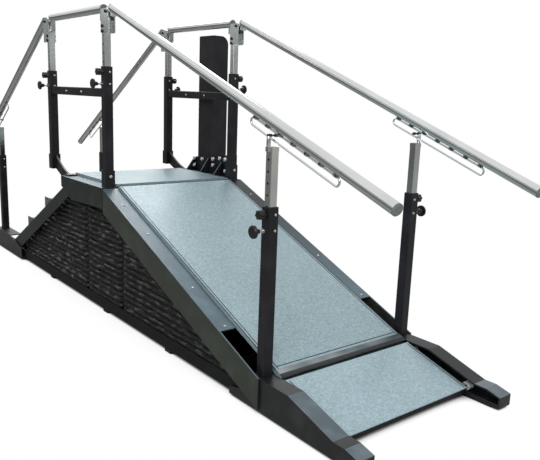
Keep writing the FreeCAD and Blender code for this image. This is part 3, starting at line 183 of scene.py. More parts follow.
def powder_coat(
        name, dark, middle, pale, gloss, edge_mm=1.6, rub_and_highlight=0.55, sparkle=0.28, shaded_from=None, **numbers):
    """Satin paint; shaded_from: where a painted shade lifts and is gone, in metres along X, and its colour.
    """
    material, tree, shader, where = finish(name, IOR=PAINT_IOR, Specular_IOR_Level=sparkle, **numbers)
    edge = add(tree, "Bevel", {"samples": 4}, {"Radius": edge_mm / 1000}).outputs["Normal"]
    face = add(tree, "NewGeometry").outputs["Normal"]
    turn = add(tree, "VectorMath", {"operation": "DOT_PRODUCT"}, {0: edge, 1: face}).outputs["Value"]
    # Paler edges: partly rubbed paint, partly a painted highlight.
    steps = {"Value": turn, "From Min": 0.97, "From Max": 0.8, "To Min": 0.0, "To Max": rub_and_highlight}
    rubbed_and_highlit = add(tree, "MapRange", None, steps).outputs["Result"]
    pattern = {"Vector": where, "Scale": per_m(HAND_MARKS), "Detail": 3.0}
    marks = add(tree, "TexNoise", None, pattern).outputs["Fac"]
    tones = [(0.15, dark), (0.5, middle), (0.9, pale)]
    coat = add(tree, "ValToRGB", None, {"Fac": marks}, tones).outputs["Color"]
    # A painted shade: the given dark colour below the start, lifting to the coat by the end.
    if shaded_from:
        start, full, shade_colour = shaded_from
        along = add(tree, "SeparateXYZ", None, {"Vector": where}).outputs["X"]
        steps = {"Value": along, "From Min": start, "From Max": full}
        dust_and_shade_lift = add(tree, "MapRange", None, steps).outputs["Result"]
        layers = {"Fac": dust_and_shade_lift, "Color1": linear(shade_colour), "Color2": coat}
        coat = add(tree, "MixRGB", None, layers).outputs["Color"]
    layers = {"Fac": rubbed_and_highlit, "Color1": coat, "Color2": linear(pale)}
    colour = add(tree, "MixRGB", None, layers).outputs["Color"]
    steps = {"Value": marks, "From Min": 0.3, "From Max": 0.7, "To Min": gloss - 0.05, "To Max": gloss + 0.07}
    roughness = add(tree, "MapRange", None, steps).outputs["Result"]
    peel = add(tree, "TexNoise", None, {"Vector": where, "Scale": per_m(PEEL)}).outputs["Fac"]
    bump = {"Height": peel, "Distance": PEEL_DEPTH / 1000, "Strength": 0.25, "Normal": edge}
    wire(tree, shader, colour, roughness, add(tree, "Bump", None, bump).outputs["Normal"])
    return material


black_coat = powder_coat("black_powder_coat", "#141317", "#1A191E", "#302F34", 0.42)
column_coat = powder_coat("black_sheet_coat", "#17171B", "#1E1D22", "#302F35", 0.46, 3.0)
olive_coat = powder_coat("olive_charcoal_coat", "#2E322C", "#353A33", "#484E46", 0.42)
shade_coat = powder_coat("landing_plate_coat", "#202422", "#272B29", "#393D3A", 0.45, sparkle=0.18)
# A painted highlight: this paler coat goes on the tops of the flanges, where they catch the lamp.
flange_coat = powder_coat(
    "flange_top_painted_highlight", "#50616A", "#5B6D76", "#778D97", 0.40, 1.6, 0.8, 0.5, Specular_Tint=SKY)
# The far flange's top: its paler coat is a painted highlight, and a painted shade darkens it towards the
# landing.
far_flange_coat = powder_coat(
    "far_flange_coat", "#65767F", "#6E7F88", "#7D8F98", 0.45, 1.6, 0.5, 0.22, (0.35, 1.15, "#252C2F"))
foot_coat = powder_coat("charcoal_foot_coat", "#181A1B", "#1E2022", "#34383A", 0.38, 2.5)
# A painted highlight for the sloping ends of the ramp's feet.
foot_top_coat = powder_coat(
    "foot_painted_highlight_coat", "#4C565A", "#5A666B", "#7C898F", 0.32, 2.5, 0.8, 0.5, Specular_Tint=SKY)
frame_coat = powder_coat("dark_frame_coat", "#0B0C0E", "#101214", "#222527", 0.55, sparkle=0.16)
print("powder coats", 9)

# %% [markdown]
# The walking surface is a sheet coated with a grit paint: pale blue-grey flakes on a slightly darker
# ground. The real flakes are about 2 mm, finer than a pixel here, so they are drawn 6 mm wide with a second
# layer of 2.4 mm. Feet polish the deck, so a slow noise takes the roughness down in patches 240 mm across.

# %% Grit deck
FLAKES, FINE_GRIT, POLISHED, FLAKE_DEPTH = 6, 2.4, 240, 0.4


def grit(name, ground, flake, bright, gloss):
    """Grit paint in three tones, with a roughness about a value."""
    material, tree, shader, where = finish(name, IOR=PAINT_IOR, Specular_IOR_Level=0.62, Specular_Tint=SKY)
    cells = add(tree, "TexVoronoi", None, {"Vector": where, "Scale": per_m(FLAKES)}).outputs["Color"]
    flakes = add(tree, "RGBToBW", None, {"Color": cells}).outputs["Val"]
    pattern = {"Vector": where, "Scale": per_m(FINE_GRIT), "Detail": 1.0}
    fine = add(tree, "TexNoise", None, pattern).outputs["Fac"]
    both = add(tree, "MixRGB", None, {"Fac": 0.45, "Color1": flakes, "Color2": fine}).outputs["Color"]
    tones = [(0.2, ground), (0.5, flake), (0.82, bright)]
    speckle = add(tree, "ValToRGB", None, {"Fac": both}, tones).outputs["Color"]
    pattern = {"Vector": where, "Scale": per_m(POLISHED), "Detail": 3.0}
    patches = add(tree, "TexNoise", None, pattern).outputs["Fac"]
    tones = [(0.3, "#E8EBEC"), (0.7, "#FFFFFF")]
    dust = add(tree, "ValToRGB", None, {"Fac": patches}, tones).outputs["Color"]
    layers = {"Fac": 0.35, "Color1": speckle, "Color2": dust}
    dust_and_shade_lift = add(tree, "MixRGB", {"blend_type": "MULTIPLY"}, layers).outputs["Color"]
    steps = {
        "Value": patches, "From Min": 0.3, "From Max": 0.7, "To Min": gloss - 0.06, "To Max": gloss + 0.08}
    roughness = add(tree, "MapRange", None, steps).outputs["Result"]
    bump = {"Height": flakes, "Distance": FLAKE_DEPTH / 1000, "Strength": 0.3}
    wire(tree, shader, dust_and_shade_lift, roughness, add(tree, "Bump", None, bump).outputs["Normal"])
    return material


# Deck, landing and flap are one grit paint. The landing's copy is a shade darker as painted shade, the flap's
# a shade lighter as painted light.
deck_grit = grit("grit_coated_deck", "#8AA1A7", "#9EB4B9", "#B7CCD0", 0.37)
landing_grit_shaded = grit("grit_coated_landing", "#809AA0", "#92AAB0", "#ABC3C9", 0.38)
flap_grit_lit = grit("grit_coated_flap", "#97ADB4", "#AABFC6", "#C1D6DC", 0.38)
tread_grit = grit("grit_coated_tread", "#454C4F", "#525A5D", "#697377", 0.5)
print("deck coats", 4)

# %% [markdown]
# The handrails and the sliding tubes are drawn aluminium, polished and anodised. Drawing leaves lines along
# the tube, so a noise is stretched forty times along its length, after a Mapping node has turned it to the
# slope of that rail. They are too fine to darken the metal: they only spread its reflections a little. The
# lines are 1 mm apart here, and hand marks of 160 mm dull the metal. A metal keeps the default index of
# refraction.

# %% Drawn aluminium
STRETCH, RAIL_MARKS, LINE_DEPTH = 40, 160, 0.01


def drawn(name, slope, card="#DADCDC", gloss=0.12, pitch_mm=1.0, hold=0.35):
    """Drawn metal with its lines along a slope; hold is how far the darker marks spread."""
    material, tree, shader, where = finish(name, Metallic=1.0)
    stretch = {"Vector": where, "Rotation": (0, slope, 0), "Scale": (1 / STRETCH, 1, 1)}
    turned = add(tree, "Mapping", None, stretch).outputs["Vector"]
    pattern = {"Vector": turned, "Scale": per_m(pitch_mm), "Detail": 1.0}
    lines = add(tree, "TexNoise", None, pattern).outputs["Fac"]
    pattern = {"Vector": where, "Scale": per_m(RAIL_MARKS), "Detail": 1.0}
    hands = add(tree, "TexNoise", None, pattern).outputs["Fac"]
    tones = [(hold, "#CFD1D1"), (0.65, card)]
    grey = add(tree, "ValToRGB", None, {"Fac": hands}, tones).outputs["Color"]
    steps = {"Value": lines, "From Min": 0.3, "From Max": 0.7, "To Min": gloss - 0.03, "To Max": gloss + 0.05}
    roughness = add(tree, "MapRange", None, steps).outputs["Result"]
    bump = {"Height": lines, "Distance": LINE_DEPTH / 1000, "Strength": 0.1}
    wire(tree, shader, grey, roughness, add(tree, "Bump", None, bump).outputs["Normal"])
    return material


RAMP_RAIL_SLOPE = math.radians(20.5)
STAIR_RAIL_SLOPE = math.radians(30.5)
rail_level = drawn("satin_anodised_rail", 0)
rail_down_ramp = drawn("satin_anodised_ramp_rail", -RAMP_RAIL_SLOPE)
rail_down_stairs = drawn("satin_anodised_stair_rail", STAIR_RAIL_SLOPE)
tube_silver = drawn("satin_anodised_tube", math.radians(90), "#B4B8B9", 0.14)
head_silver = drawn("satin_anodised_head_tube", math.radians(90), "#EEF2F4", 0.24, 3.0)
trim_metal = drawn("anodised_nosing", math.radians(90), "#667277", 0.45, 2.0, 0.0)
bright_steel = drawn("bright_rolled_steel", 0, "#CDD0D2", 0.2)
print("metals", 7)

# %% [markdown]
# Small parts are moulded. Knobs are black phenolic, end caps and clips are polyamide, the rollers are white
# nylon and the floor pads are rubber. A plain colour would look like a stand-in, so each has a slow change
# of tone, twelve grains wide, and a relief of its own grain. Screws use the same recipe as a metal.

# %% Moulded plastics and rubber
TONE_GRAINS = 12


def moulded(name, card, pale, gloss, grain_mm, depth_mm, **numbers):
    """A small part's finish between two tones, with its grain's width and depth."""
    material, tree, shader, where = finish(name, **numbers)
    pattern = {"Vector": where, "Scale": per_m(TONE_GRAINS * grain_mm)}
    slow = add(tree, "TexNoise", None, pattern).outputs["Fac"]
    tone = add(tree, "ValToRGB", None, {"Fac": slow}, [(0.3, card), (0.7, pale)]).outputs["Color"]
    steps = {"Value": slow, "From Min": 0.3, "From Max": 0.7, "To Min": gloss - 0.04, "To Max": gloss + 0.08}
    roughness = add(tree, "MapRange", None, steps).outputs["Result"]
    grain = add(tree, "TexNoise", None, {"Vector": where, "Scale": per_m(grain_mm)}).outputs["Fac"]
    bump = {"Height": grain, "Distance": depth_mm / 1000, "Strength": 0.3}
    wire(tree, shader, tone, roughness, add(tree, "Bump", None, bump).outputs["Normal"])
    return material


knob_black = moulded("moulded_phenolic", "#0C0C0E", "#151518", 0.34, 1.5, 0.05)
cap_grey = moulded("moulded_polyamide", "#666D6A", "#747C78", 0.45, 1.2, 0.08)
clip_black = moulded("moulded_clip", "#1C1E20", "#2A2C2F", 0.5, 1.2, 0.08)
nylon_white = moulded("white_nylon", "#D9DBDC", "#EEF0F0", 0.32, 2.0, 0.05, Subsurface_Weight=0.05)
pad_rubber = moulded("black_rubber", "#101010", "#1A1A1A", 0.75, 2.0, 0.2)
seal_rubber = moulded("edge_seal_rubber", "#15171A", "#202327", 0.6, 2.0, 0.1)
zinc_screw = moulded("zinc_plated_screw", "#C9CBCD", "#E3E4E5", 0.28, 1.0, 0.05, Metallic=1.0)
dark_screw = moulded("black_oxide_screw", "#2B2C2E", "#3C3D40", 0.35, 1.0, 0.05, Metallic=0.7)
print("moulded finishes", 8)

# %% [markdown]
# A kept part of the drawing gets its finish by filling its material slot. Some parts hold two finishes,
# such as a handrail with grey end caps, or a rod loop with moulded clips. Their faces are sorted by where
# they lie, which leaves the shape alone.

# %% Dress the kept parts
COATED = {
    "base_frame": frame_coat, "ramp_feet": foot_coat, "stair_feet": foot_coat, "foot_step": tread_grit,
    "floor_pads": pad_rubber, "guide_mast": frame_coat, "actuator_rod": bright_steel,
    "foot_posts": black_coat, "landing_posts": black_coat, "post_sockets": black_coat,
    "platform_frame": frame_coat, "platform_deck": landing_grit_shaded, "platform_side_plates": shade_coat,
    "landing_crossbars": black_coat, "column_cover": column_coat, "column_bracket": black_coat,
    "lift_actuator": tube_silver, "ramp_frame": frame_coat, "ramp_deck": deck_grit,
    "ramp_side_plates": olive_coat, "ramp_nosing": trim_metal, "flap_panel": flap_grit_lit,
    "flap_frame": frame_coat, "knee_rollers": nylon_white, "flap_rollers": nylon_white,
    "stair_rollers": clip_black, "stair_stringers": shade_coat, "stair_links": frame_coat,
    "tread_upper": tread_grit, "tread_lower": tread_grit, "stair_carriages": frame_coat,
}
POST_NAMES = ("ramp_foot", "stair_foot", "ramp_head", "stair_head")
for side in ("near", "far"):
    COATED["landing_tubes_" + side] = head_silver
    COATED["foot_tubes_" + side] = tube_silver
    COATED["landing_rail_" + side] = rail_level
    COATED["ramp_rail_" + side] = rail_down_ramp
    COATED["stair_rail_" + side] = rail_down_stairs
    COATED["ramp_loop_" + side] = bright_steel
    for post in POST_NAMES:
        COATED["clamp_" + post + "_" + side] = knob_black
        COATED["plunger_" + post + "_" + side] = knob_black


def second_finish(name, material, chosen):
    """Give another finish to the faces chosen by their middle, in mm on the drawing, and their normal."""
    mesh = nodes[name].data
    mesh.materials.append(material)
    for face in mesh.polygons:
        if chosen(on_drawing(face.center), face.normal):
            face.material_index = len(mesh.materials) - 1


for name, material in COATED.items():
    if not nodes[name].data.materials:
        nodes[name].data.materials.append(material)
    for slot in nodes[name].material_slots:
        slot.material = material
print("dressed", len(COATED))

# %% [markdown]
# The tops of the flanges are walked on and a little smoother than the plates that hang from them. Their
# paler colour is a painted highlight where they catch the lamp, and the sloping ends of the ramp's feet get
# the same painted highlight. The stems of the plungers and clamps are bare steel, and so are the nuts that
# guide the plungers beside the posts.

# %% Painted highlights on the tops, and bare steel
KNOB_BACK, PLUNGER_BACK, POST_SIDE, FOOT_END = 378.5, 393.5, 370.5, 1592.0
FACING_UP, SLOPING = 0.8, 0.15


def gets_foot_highlight(place, normal):
    """Whether a face of a foot gets the painted highlight: the slope of the near one, the end of the far one.
    """
    return normal.z > FACING_UP and (normal.x > SLOPING if place.y < 0 else place.x > FOOT_END)


# The flange tops get the painted highlight.
for name in ("platform_side_plates", "ramp_side_plates"):
    second_finish(name, flange_coat, lambda p, n: n.z > FACING_UP)
second_finish("ramp_side_plates", far_flange_coat, lambda p, n: n.z > FACING_UP and p.y > 0)
# The sloping ends of the feet get the painted highlight.
second_finish("ramp_feet", foot_top_coat, gets_foot_highlight)
for side in ("near", "far"):
    for post in POST_NAMES:
        second_finish("clamp_" + post + "_" + side, bright_steel, lambda p, n: abs(p.y) < KNOB_BACK)
        second_finish("plunger_" + post + "_" + side, bright_steel, lambda p, n: abs(p.y) < PLUNGER_BACK)
for name in ("foot_posts", "landing_posts"):
    second_finish(name, bright_steel, lambda p, n: abs(p.y) > POST_SIDE)
print("worn tops and bare steel painted")

# %% [markdown]
# Along a sloping rail it is easiest to measure from its pivot: how far down the rail, and how far above the
# pivot. The grey end caps are the faces beyond the ends of the tube, and the clips are what stands above
# the upper strand of the rod loop.

# %% Measuring down a rail
RAIL_PIVOT_Z, RAIL_RISE, RAIL_RADIUS = 1390.0, 24.0, 19.0
RAMP_RAIL_START_X, STAIR_RAIL_START_X = 36.0, -709.0
RAMP_RAIL_LENGTH, STAIR_RAIL_LENGTH = 1812.0, 1500.0
TUBE_START, CAP_LENGTH, UNDER_TUBE, LOOP_CLIP_FOOT = 20.0, 8.1, 4.0, 1.2
LANDING_RAIL_ENDS = (-645.9, -23.5)
CLIP_BAND, CLIP_RUN = (-1.0, 5.5), (870, 1310)


def down_rail(start_x, slope, way, point):
    """Millimetres down a rail from its pivot, and above the pivot's line."""
    x, z = way * (point.x - start_x), point.z - RAIL_PIVOT_Z
    return x * math.cos(slope) - z * math.sin(slope), x * math.sin(slope) + z * math.cos(slope)


def down_ramp_rail(point):
    return down_rail(RAMP_RAIL_START_X, RAMP_RAIL_SLOPE, 1, point)


def down_stair_rail(point):
    return down_rail(STAIR_RAIL_START_X, STAIR_RAIL_SLOPE, -1, point)


def is_cap(place, length):
    """Whether a place down a rail is on an end cap of its tube."""
    along, above = place
    in_tube = UNDER_TUBE < above < RAIL_RISE + RAIL_RADIUS + 1
    return in_tube and (along < TUBE_START + CAP_LENGTH or along > length - CAP_LENGTH)


def is_stair_clip(place):
    """Whether a place down the stair rail is on a clip of its rod loop."""
    along, above = place
    return CLIP_BAND[0] < above < CLIP_BAND[1] and CLIP_RUN[0] < along < CLIP_RUN[1]


print("rails measured from their pivots at height", RAIL_PIVOT_Z)

# %% [markdown]
# Each side is painted in one turn. The inner tubes of the foot posts carry the hooks, and the top 9 mm of
# each hook is a dark sleeve.

# %% Caps, clips and the sleeves of the hooks
HOOK_SLEEVE, BESIDE_POST = 9.0, 60.0


def is_landing_cap(place):
    """Whether a place is beyond either end of the landing rail's tube."""
    return not LANDING_RAIL_ENDS[0] <= place.x <= LANDING_RAIL_ENDS[1]


def is_sleeve(place, post_x, top):
    """Whether a place is on the dark sleeve at the top of the hook on one post."""
    return abs(place.x - post_x) < BESIDE_POST and place.z > top - HOOK_SLEEVE


for side in ("near", "far"):
    ramp_rail, stair_rail, tubes = "ramp_rail_" + side, "stair_rail_" + side, "foot_tubes_" + side
    second_finish(ramp_rail, cap_grey, lambda p, n: is_cap(down_ramp_rail(p), RAMP_RAIL_LENGTH))
    second_finish(stair_rail, cap_grey, lambda p, n: is_cap(down_stair_rail(p), STAIR_RAIL_LENGTH))
    second_finish(stair_rail, clip_black, lambda p, n: is_stair_clip(down_stair_rail(p)))
    second_finish("ramp_loop_" + side, clip_black, lambda p, n: down_ramp_rail(p)[1] > LOOP_CLIP_FOOT)
    second_finish("landing_rail_" + side, cap_grey, lambda p, n: is_landing_cap(p))
    middles = [on_drawing(face.center) for face in nodes[tubes].data.polygons]
    for post_x in (RAMP_POST_X, STAIR_POST_X):
        top = max(m.z for m in middles if abs(m.x - post_x) < BESIDE_POST)
        second_finish(tubes, clip_black, lambda p, n: is_sleeve(p, post_x, top))
print("caps, clips and hook sleeves painted")

# %% [markdown]
# New pieces are made with bmesh and handed to one function, which names the object, gives it its finish and
# lets it ride on the body that carries it. Normals are recalculated there, because spun and mirrored shapes
# can come out inside out.

# %% Piece helper
def piece(name, mesh_data, material, body, smooth=0.5):
    """A finished object that rides on a body; edges under the smooth angle, in radians, are shaded round."""
    bmesh.ops.remove_doubles(mesh_data, verts=mesh_data.verts, dist=1e-6)
    bmesh.ops.recalc_face_normals(mesh_data, faces=mesh_data.faces)
    mesh = bpy.data.meshes.new(name)
    mesh_data.to_mesh(mesh)
    mesh_data.free()
    mesh.shade_smooth()
    mesh.set_sharp_from_angle(angle=smooth)
    mesh.materials.append(material)
    obj = bpy.data.objects.new(name, mesh)
    scene.collection.objects.link(obj)
    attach(obj, body)
    return obj


def facing(direction, place):
    """A matrix that sets a shape drawn along Z on a place, looking along a direction."""
    turn = Vector((0, 0, 1)).rotation_difference(Vector(direction))
    return Matrix.Translation(place) @ turn.to_matrix().to_4x4()


def soften(mesh_data, edges, millimetres):
    """Round edges in two steps."""
    bmesh.ops.bevel(
        mesh_data, geom=edges, offset=millimetres / 1000, segments=2, profile=0.5, affect="EDGES",
        material=-1)


def bar(mesh_data, size, place, turn=None, soft_mm=0.4):
    """A rectangular bar about a place, turned by a matrix, with softened edges."""
    shape = Matrix.Diagonal((*(Vector(size) / 1000), 1.0))
    shape = Matrix.Translation(place) @ (turn or Matrix.Identity(4)) @ shape
    made = bmesh.ops.create_cube(mesh_data, size=1.0, matrix=shape)
    soften(mesh_data, list({e for v in made["verts"] for e in v.link_edges}), soft_mm)


def rod(mesh_data, start, end, radius, soft_mm=0.8, sides=20):
    """A round rod between two points, with softened rims."""
    place = facing(end - start, (start + end) / 2)
    made = bmesh.ops.create_cone(
        mesh_data, cap_ends=True, segments=sides, radius1=radius / 1000, radius2=radius / 1000,
        depth=(end - start).length, matrix=place)
    edges = {e for v in made["verts"] for e in v.link_edges}
    soften(mesh_data, [e for e in edges if any(len(f.verts) == sides for f in e.link_faces)], soft_mm)


print("piece helpers ready")

# %% [markdown]
# The bellows hide the mechanism and keep fingers out. They are fabric with a shiny black coating. The
# coating creases where the pleats bend, 22 mm apart and longer along the pleats than across, and shines on
# the creases only. A slow change of tone is 70 mm wide.

# %% Coated cloth
TONE_WIDTH, CREASE, CREASE_DEPTH = 70, 22, 6


def coated_cloth(name):
    material, tree, shader, where = finish(name, IOR=1.5, Specular_IOR_Level=0.35)
    pattern = {"Vector": where, "Scale": per_m(TONE_WIDTH), "Detail": 3.0}
    slow = add(tree, "TexNoise", None, pattern).outputs["Fac"]
    tone = add(tree, "ValToRGB", None, {"Fac": slow}, [(0.3, "#030304"), (0.7, "#08090A")]).outputs["Color"]
    drawn_out = add(tree, "Mapping", None, {"Vector": where, "Scale": (0.4, 1, 1)}).outputs["Vector"]
    pattern = {"Vector": drawn_out, "Scale": per_m(CREASE), "Detail": 1.5}
    creases = add(tree, "TexNoise", None, pattern).outputs["Fac"]
    steps = {"Value": creases, "From Min": 0.5, "From Max": 0.66, "To Min": 0.7, "To Max": 0.18}
    roughness = add(tree, "MapRange", None, steps).outputs["Result"]
    bump = {"Height": creases, "Distance": CREASE_DEPTH / 1000, "Strength": 0.6}
    wire(tree, shader, tone, roughness, add(tree, "Bump", None, bump).outputs["Normal"])
    return material


bellows_cloth = coated_cloth("pvc_coated_cloth")
print("cloth ready")

# %% [markdown]
# The cloth is folded flat like an accordion, stiff at each fold and slack between. A triangle wave with
# eased tips makes the pleats. A slow noise lets them droop by up to 3.2 mm, another makes some stand out
# less, and a quick one puckers the coating by 1.6 mm, which breaks the highlights as on the real sheet.
# Where two widths of cloth are sewn together they lie flat, so a dark groove shows there. The side of the
# object is part of every noise, so near and far differ.

# %% Folds of the cloth
PLEAT_FOOT, PLEAT_TOP, PLEATS = 19.5, 542.0, 19
PLEAT_PITCH = (PLEAT_TOP - PLEAT_FOOT) / PLEATS
VALLEY, REACH, SKIN = 349.0, 16.5, 366.5
DROOP, PUCKER, SEAM_RISE = 3.2, 1.6, 14
DROOP_WAVE, PULL_WAVE, PUCKER_WAVE = (150, 60), 90, (22, 12)
TIP_WIDTH, BULGE, SLACK = 1.12, 0.85, 0.14


def sway(across, seed, upward):
    """A smooth random number from -1 to 1 for a place on the cloth."""
    return noise.noise(Vector((across, seed, upward)))


def fold_out(x, z, seam_gap, side):
    """How far out the cloth stands at a place, from its valley line."""
    droop = DROOP * sway(x / DROOP_WAVE[0], side * 3.1, z / DROOP_WAVE[1])
    turn = (z + droop - PLEAT_FOOT) / PLEAT_PITCH % 1.0
    fold = min(1.0, (1 - abs(2 * turn - 1)) * TIP_WIDTH) ** BULGE
    pull = 1 - SLACK + SLACK * sway(x / PULL_WAVE, side * 5.3, round(z / PLEAT_PITCH))
    pucker = PUCKER * sway(x / PUCKER_WAVE[0], side * 7.7, z / PUCKER_WAVE[1])
    return (REACH * pull + pucker) * fold * min(1.0, max(0.0, seam_gap / SEAM_RISE))


print("pleats of", PLEAT_PITCH, "mm")

# %% [markdown]
# Each side has three widths of cloth: a grid whose points are moved out by the fold. Two cuts follow the
# stringer and the ramp, and Solidify gives the cloth its thickness. Unfolded, a width is 0.735 m tall: 19
# pleats of 27.5 mm that stand out 16.5 mm. Each row below gives the ends of a width, half its groove and
# the area of its cut, in square metres. On the real object the pleats close towards the floor channel as
# the landing comes down; here the cloth rides on the base as it is built.

# %% Bellows
STRINGER_COVER, RAMP_COVER = 23.0, 53.0
COLUMN_PITCH, ROWS_PER_PLEAT = 9, 8
PANELS = ((-1188.0, -230.0, 3.0, 0.482), (-230.0, 145.0, 3.0, 0.268), (145.0, 1048.5, 11.0, 0.380))
UNFOLDED, CLOTH_THICK = 0.735, 1.2
STRINGER_UP = (-math.sin(STAIR_PITCH), 0, math.cos(STAIR_PITCH))
RAMP_UP = (math.sin(RAMP_PITCH), 0, math.cos(RAMP_PITCH))
CUTS = (
    (at(STAIR_PIVOT[0], 0, STAIR_PIVOT[1] - STRINGER_COVER), STRINGER_UP),
    (on_ramp(0, -RAMP_COVER, 0), RAMP_UP),
)


def pleated(name, start, end, groove, side):
    """One width of pleated cloth on one side of the object."""
    sheet = bmesh.new()
    columns = int((end - start) / COLUMN_PITCH)
    bmesh.ops.create_grid(sheet, x_segments=columns, y_segments=PLEATS * ROWS_PER_PLEAT, size=0.5)
    for vert in sheet.verts:
        x = start + (vert.co.x + 0.5) * (end - start)
        z = PLEAT_FOOT + (vert.co.y + 0.5) * (PLEAT_TOP - PLEAT_FOOT)
        out = VALLEY + fold_out(x, z, min(x - start, end - x) - groove, side)
        vert.co = at(x, side * min(out, SKIN), z)
    for place, outwards in CUTS:
        geom = sheet.verts[:] + sheet.edges[:] + sheet.faces[:]
        bmesh.ops.bisect_plane(sheet, geom=geom, plane_co=place, plane_no=outwards, clear_outer=True)
    obj = piece(name, sheet, bellows_cloth, "base", smooth=1.2)
    wall = obj.modifiers.new("cloth", "SOLIDIFY")
    wall.thickness = CLOTH_THICK / 1000
    wall.offset = 0
    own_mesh(obj)
    return obj


bellows = []
for label, side in SIDES:
    for i, (start, end, groove, cloth) in enumerate(PANELS):
        bellows.append(pleated("bellows_panel_%d_%s" % (i + 1, label), start, end, groove, side))
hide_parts("bellows")
for panel in bellows:
    faces = panel.data.polygons
    print(panel.name, "faces", len(faces), "cloth", round(sum(f.area for f in faces), 3))

# %% [markdown]
# Screws tell the size of everything else. A button head is a low cone whose top is inset twice: raised into
# a dome, then sunk into the socket for the key. All the heads that ride on one body are one piece, and each
# has only a few dozen faces.

# %% Screw heads
HEAD_TAPER, DOME, SOCKET = 0.86, (0.34, 0.25), (0.12, -0.5)


def button_head(mesh_data, place, direction, radius, height, sides=14):
    """A screw head on a place, looking along a direction."""
    before = set(mesh_data.verts)
    made = bmesh.ops.create_cone(
        mesh_data, cap_ends=True, segments=sides, radius1=radius / 1000,
        radius2=radius * HEAD_TAPER / 1000, depth=height / 1000)
    top = max({f for v in made["verts"] for f in v.link_faces}, key=lambda f: f.calc_center_median().z)
    for inset, rise in (DOME, SOCKET):
        bmesh.ops.inset_individual(mesh_data, faces=[top], thickness=radius * inset / 1000)
        bmesh.ops.translate(mesh_data, verts=top.verts, vec=(0, 0, height * rise / 1000))
    stand = facing(direction, place) @ Matrix.Translation((0, 0, height / 2000))
    bmesh.ops.transform(mesh_data, matrix=stand, verts=[v for v in mesh_data.verts if v not in before])


def screws(name, material, body, places, radius, height):
    """All the screw heads of one body as one piece."""
    mesh_data = bmesh.new()
    for place, direction in places:
        button_head(mesh_data, place, direction, radius, height)
    return piece(name, mesh_data, material, body)


RAMP_SCREWS, RAMP_SCREW_Y = {-1: (163, 405, 793, 1032), 1: (157, 400, 727, 1032)}, 356
ramp_flange = []
for side, places in RAMP_SCREWS.items():
    ramp_flange += [(on_ramp(along, 1.0, side * RAMP_SCREW_Y), RAMP_UP) for along in places]
screws("ramp_flange_screws", zinc_screw, "ramp", ramp_flange, 5.0, 2.6)
print("screws on the ramp", len(ramp_flange))

# %% [markdown]
# The column hangs on a bracket that is bolted to the landing. Its bolts are large and bright, and none is
# quite in line with the next, because they hold ribs and rails behind the plate.

# %% Bracket bolts
BRACKET_FACE, CROSSBAR_HEIGHT = 376.0, 1040.0
CROSSBAR_X, CROSSBAR_Y = (-442, -254), (335, -365)
BRACKET_BOLTS = (
    (-408, 683), (-325, 684), (-214, 695), (-149, 704), (-407, 642), (-215, 660), (-97, 702), (-94, 640),
    (-40, 671))
bracket_places = [(at(x, BRACKET_FACE, z), (0, -1, 0)) for x, z in BRACKET_BOLTS]
screws("bracket_bolts", zinc_screw, "platform", bracket_places, 12.0, 7.0)
crossbar_places = [(at(x, y, CROSSBAR_HEIGHT), (0, -1, 0)) for x in CROSSBAR_X for y in CROSSBAR_Y]
screws("crossbar_screws", zinc_screw, "platform", crossbar_places, 5.5, 3.0)
print("bolts on bracket and crossbars", len(bracket_places) + len(crossbar_places))

# %% [markdown]
# Three triangular gussets brace the bracket's plate from the landing's flange. Each is cut from 6 mm plate,
# and its sloping edge has a painted highlight, because it faces up to the lamp.

# %% Bracket gussets
GUSSETS = ((-425.0, 688.0), (-280.0, 692.0), (-145.0, 684.0))
GUSSET_TOE, GUSSET_HEEL, GUSSET_NOSE, GUSSET_HALF = 330.0, 390.0, 6.0, 3.0
FACING_LAMP = 0.4
gussets = bmesh.new()
for x, top in GUSSETS:
    outline = [
        (GUSSET_TOE, FLANGE_TOP), (GUSSET_HEEL, FLANGE_TOP), (GUSSET_HEEL, top),
        (GUSSET_HEEL - GUSSET_NOSE, top), (GUSSET_TOE, FLANGE_TOP + GUSSET_NOSE)]
    face = gussets.faces.new([gussets.verts.new(at(x - GUSSET_HALF, y, z)) for y, z in outline])
    grown = bmesh.ops.extrude_face_region(gussets, geom=[face])["geom"]
    moved = [g for g in grown if isinstance(g, bmesh.types.BMVert)]
    bmesh.ops.translate(gussets, verts=moved, vec=(2 * GUSSET_HALF / 1000, 0, 0))
soften(gussets, gussets.edges[:], 0.5)
bracket_gussets = piece("bracket_gussets", gussets, black_coat, "platform")
# The faces turned up towards the lamp take the paler flange coat as a painted highlight.
bracket_gussets.data.materials.append(flange_coat)
for face in bracket_gussets.data.polygons:
    face.material_index = int(min(-face.normal.y, face.normal.z) > FACING_LAMP)
print("gussets", len(GUSSETS))

# %% [markdown]
# A cross screw holds each post's lining at the height of every knob, and its head shows on the ramp side.
# The sockets of the landing's tall posts have one large bolt each, and those of the stair posts a bolt at
# the top and one at the foot, on the stair side.

# %% Post screws
FOOT_POSTS = ((RAMP_POST_X, 706.0), (STAIR_POST_X, 607.0))
LANDING_POSTS = ((0.0, 1156.0), (STAIR_HEAD_X, 1140.0))
SCREW_DROPS, SCREW_Y = (24, 77), 345.0
SOCKET_BOLTS = ((24, 660, 1), (-697, 638, -1), (-697, 690, -1))


def lining_screws(name, body, posts):
    """Screws on the ramp side of posts, each given by its place along X and its top; returns how many."""
    places = [
        (at(x + POST_HALF, side * SCREW_Y, top - drop), (1, 0, 0))
        for x, top in posts for side in (-1, 1) for drop in SCREW_DROPS]
    screws(name, zinc_screw, body, places, 5.0, 3.0)
    return len(places)


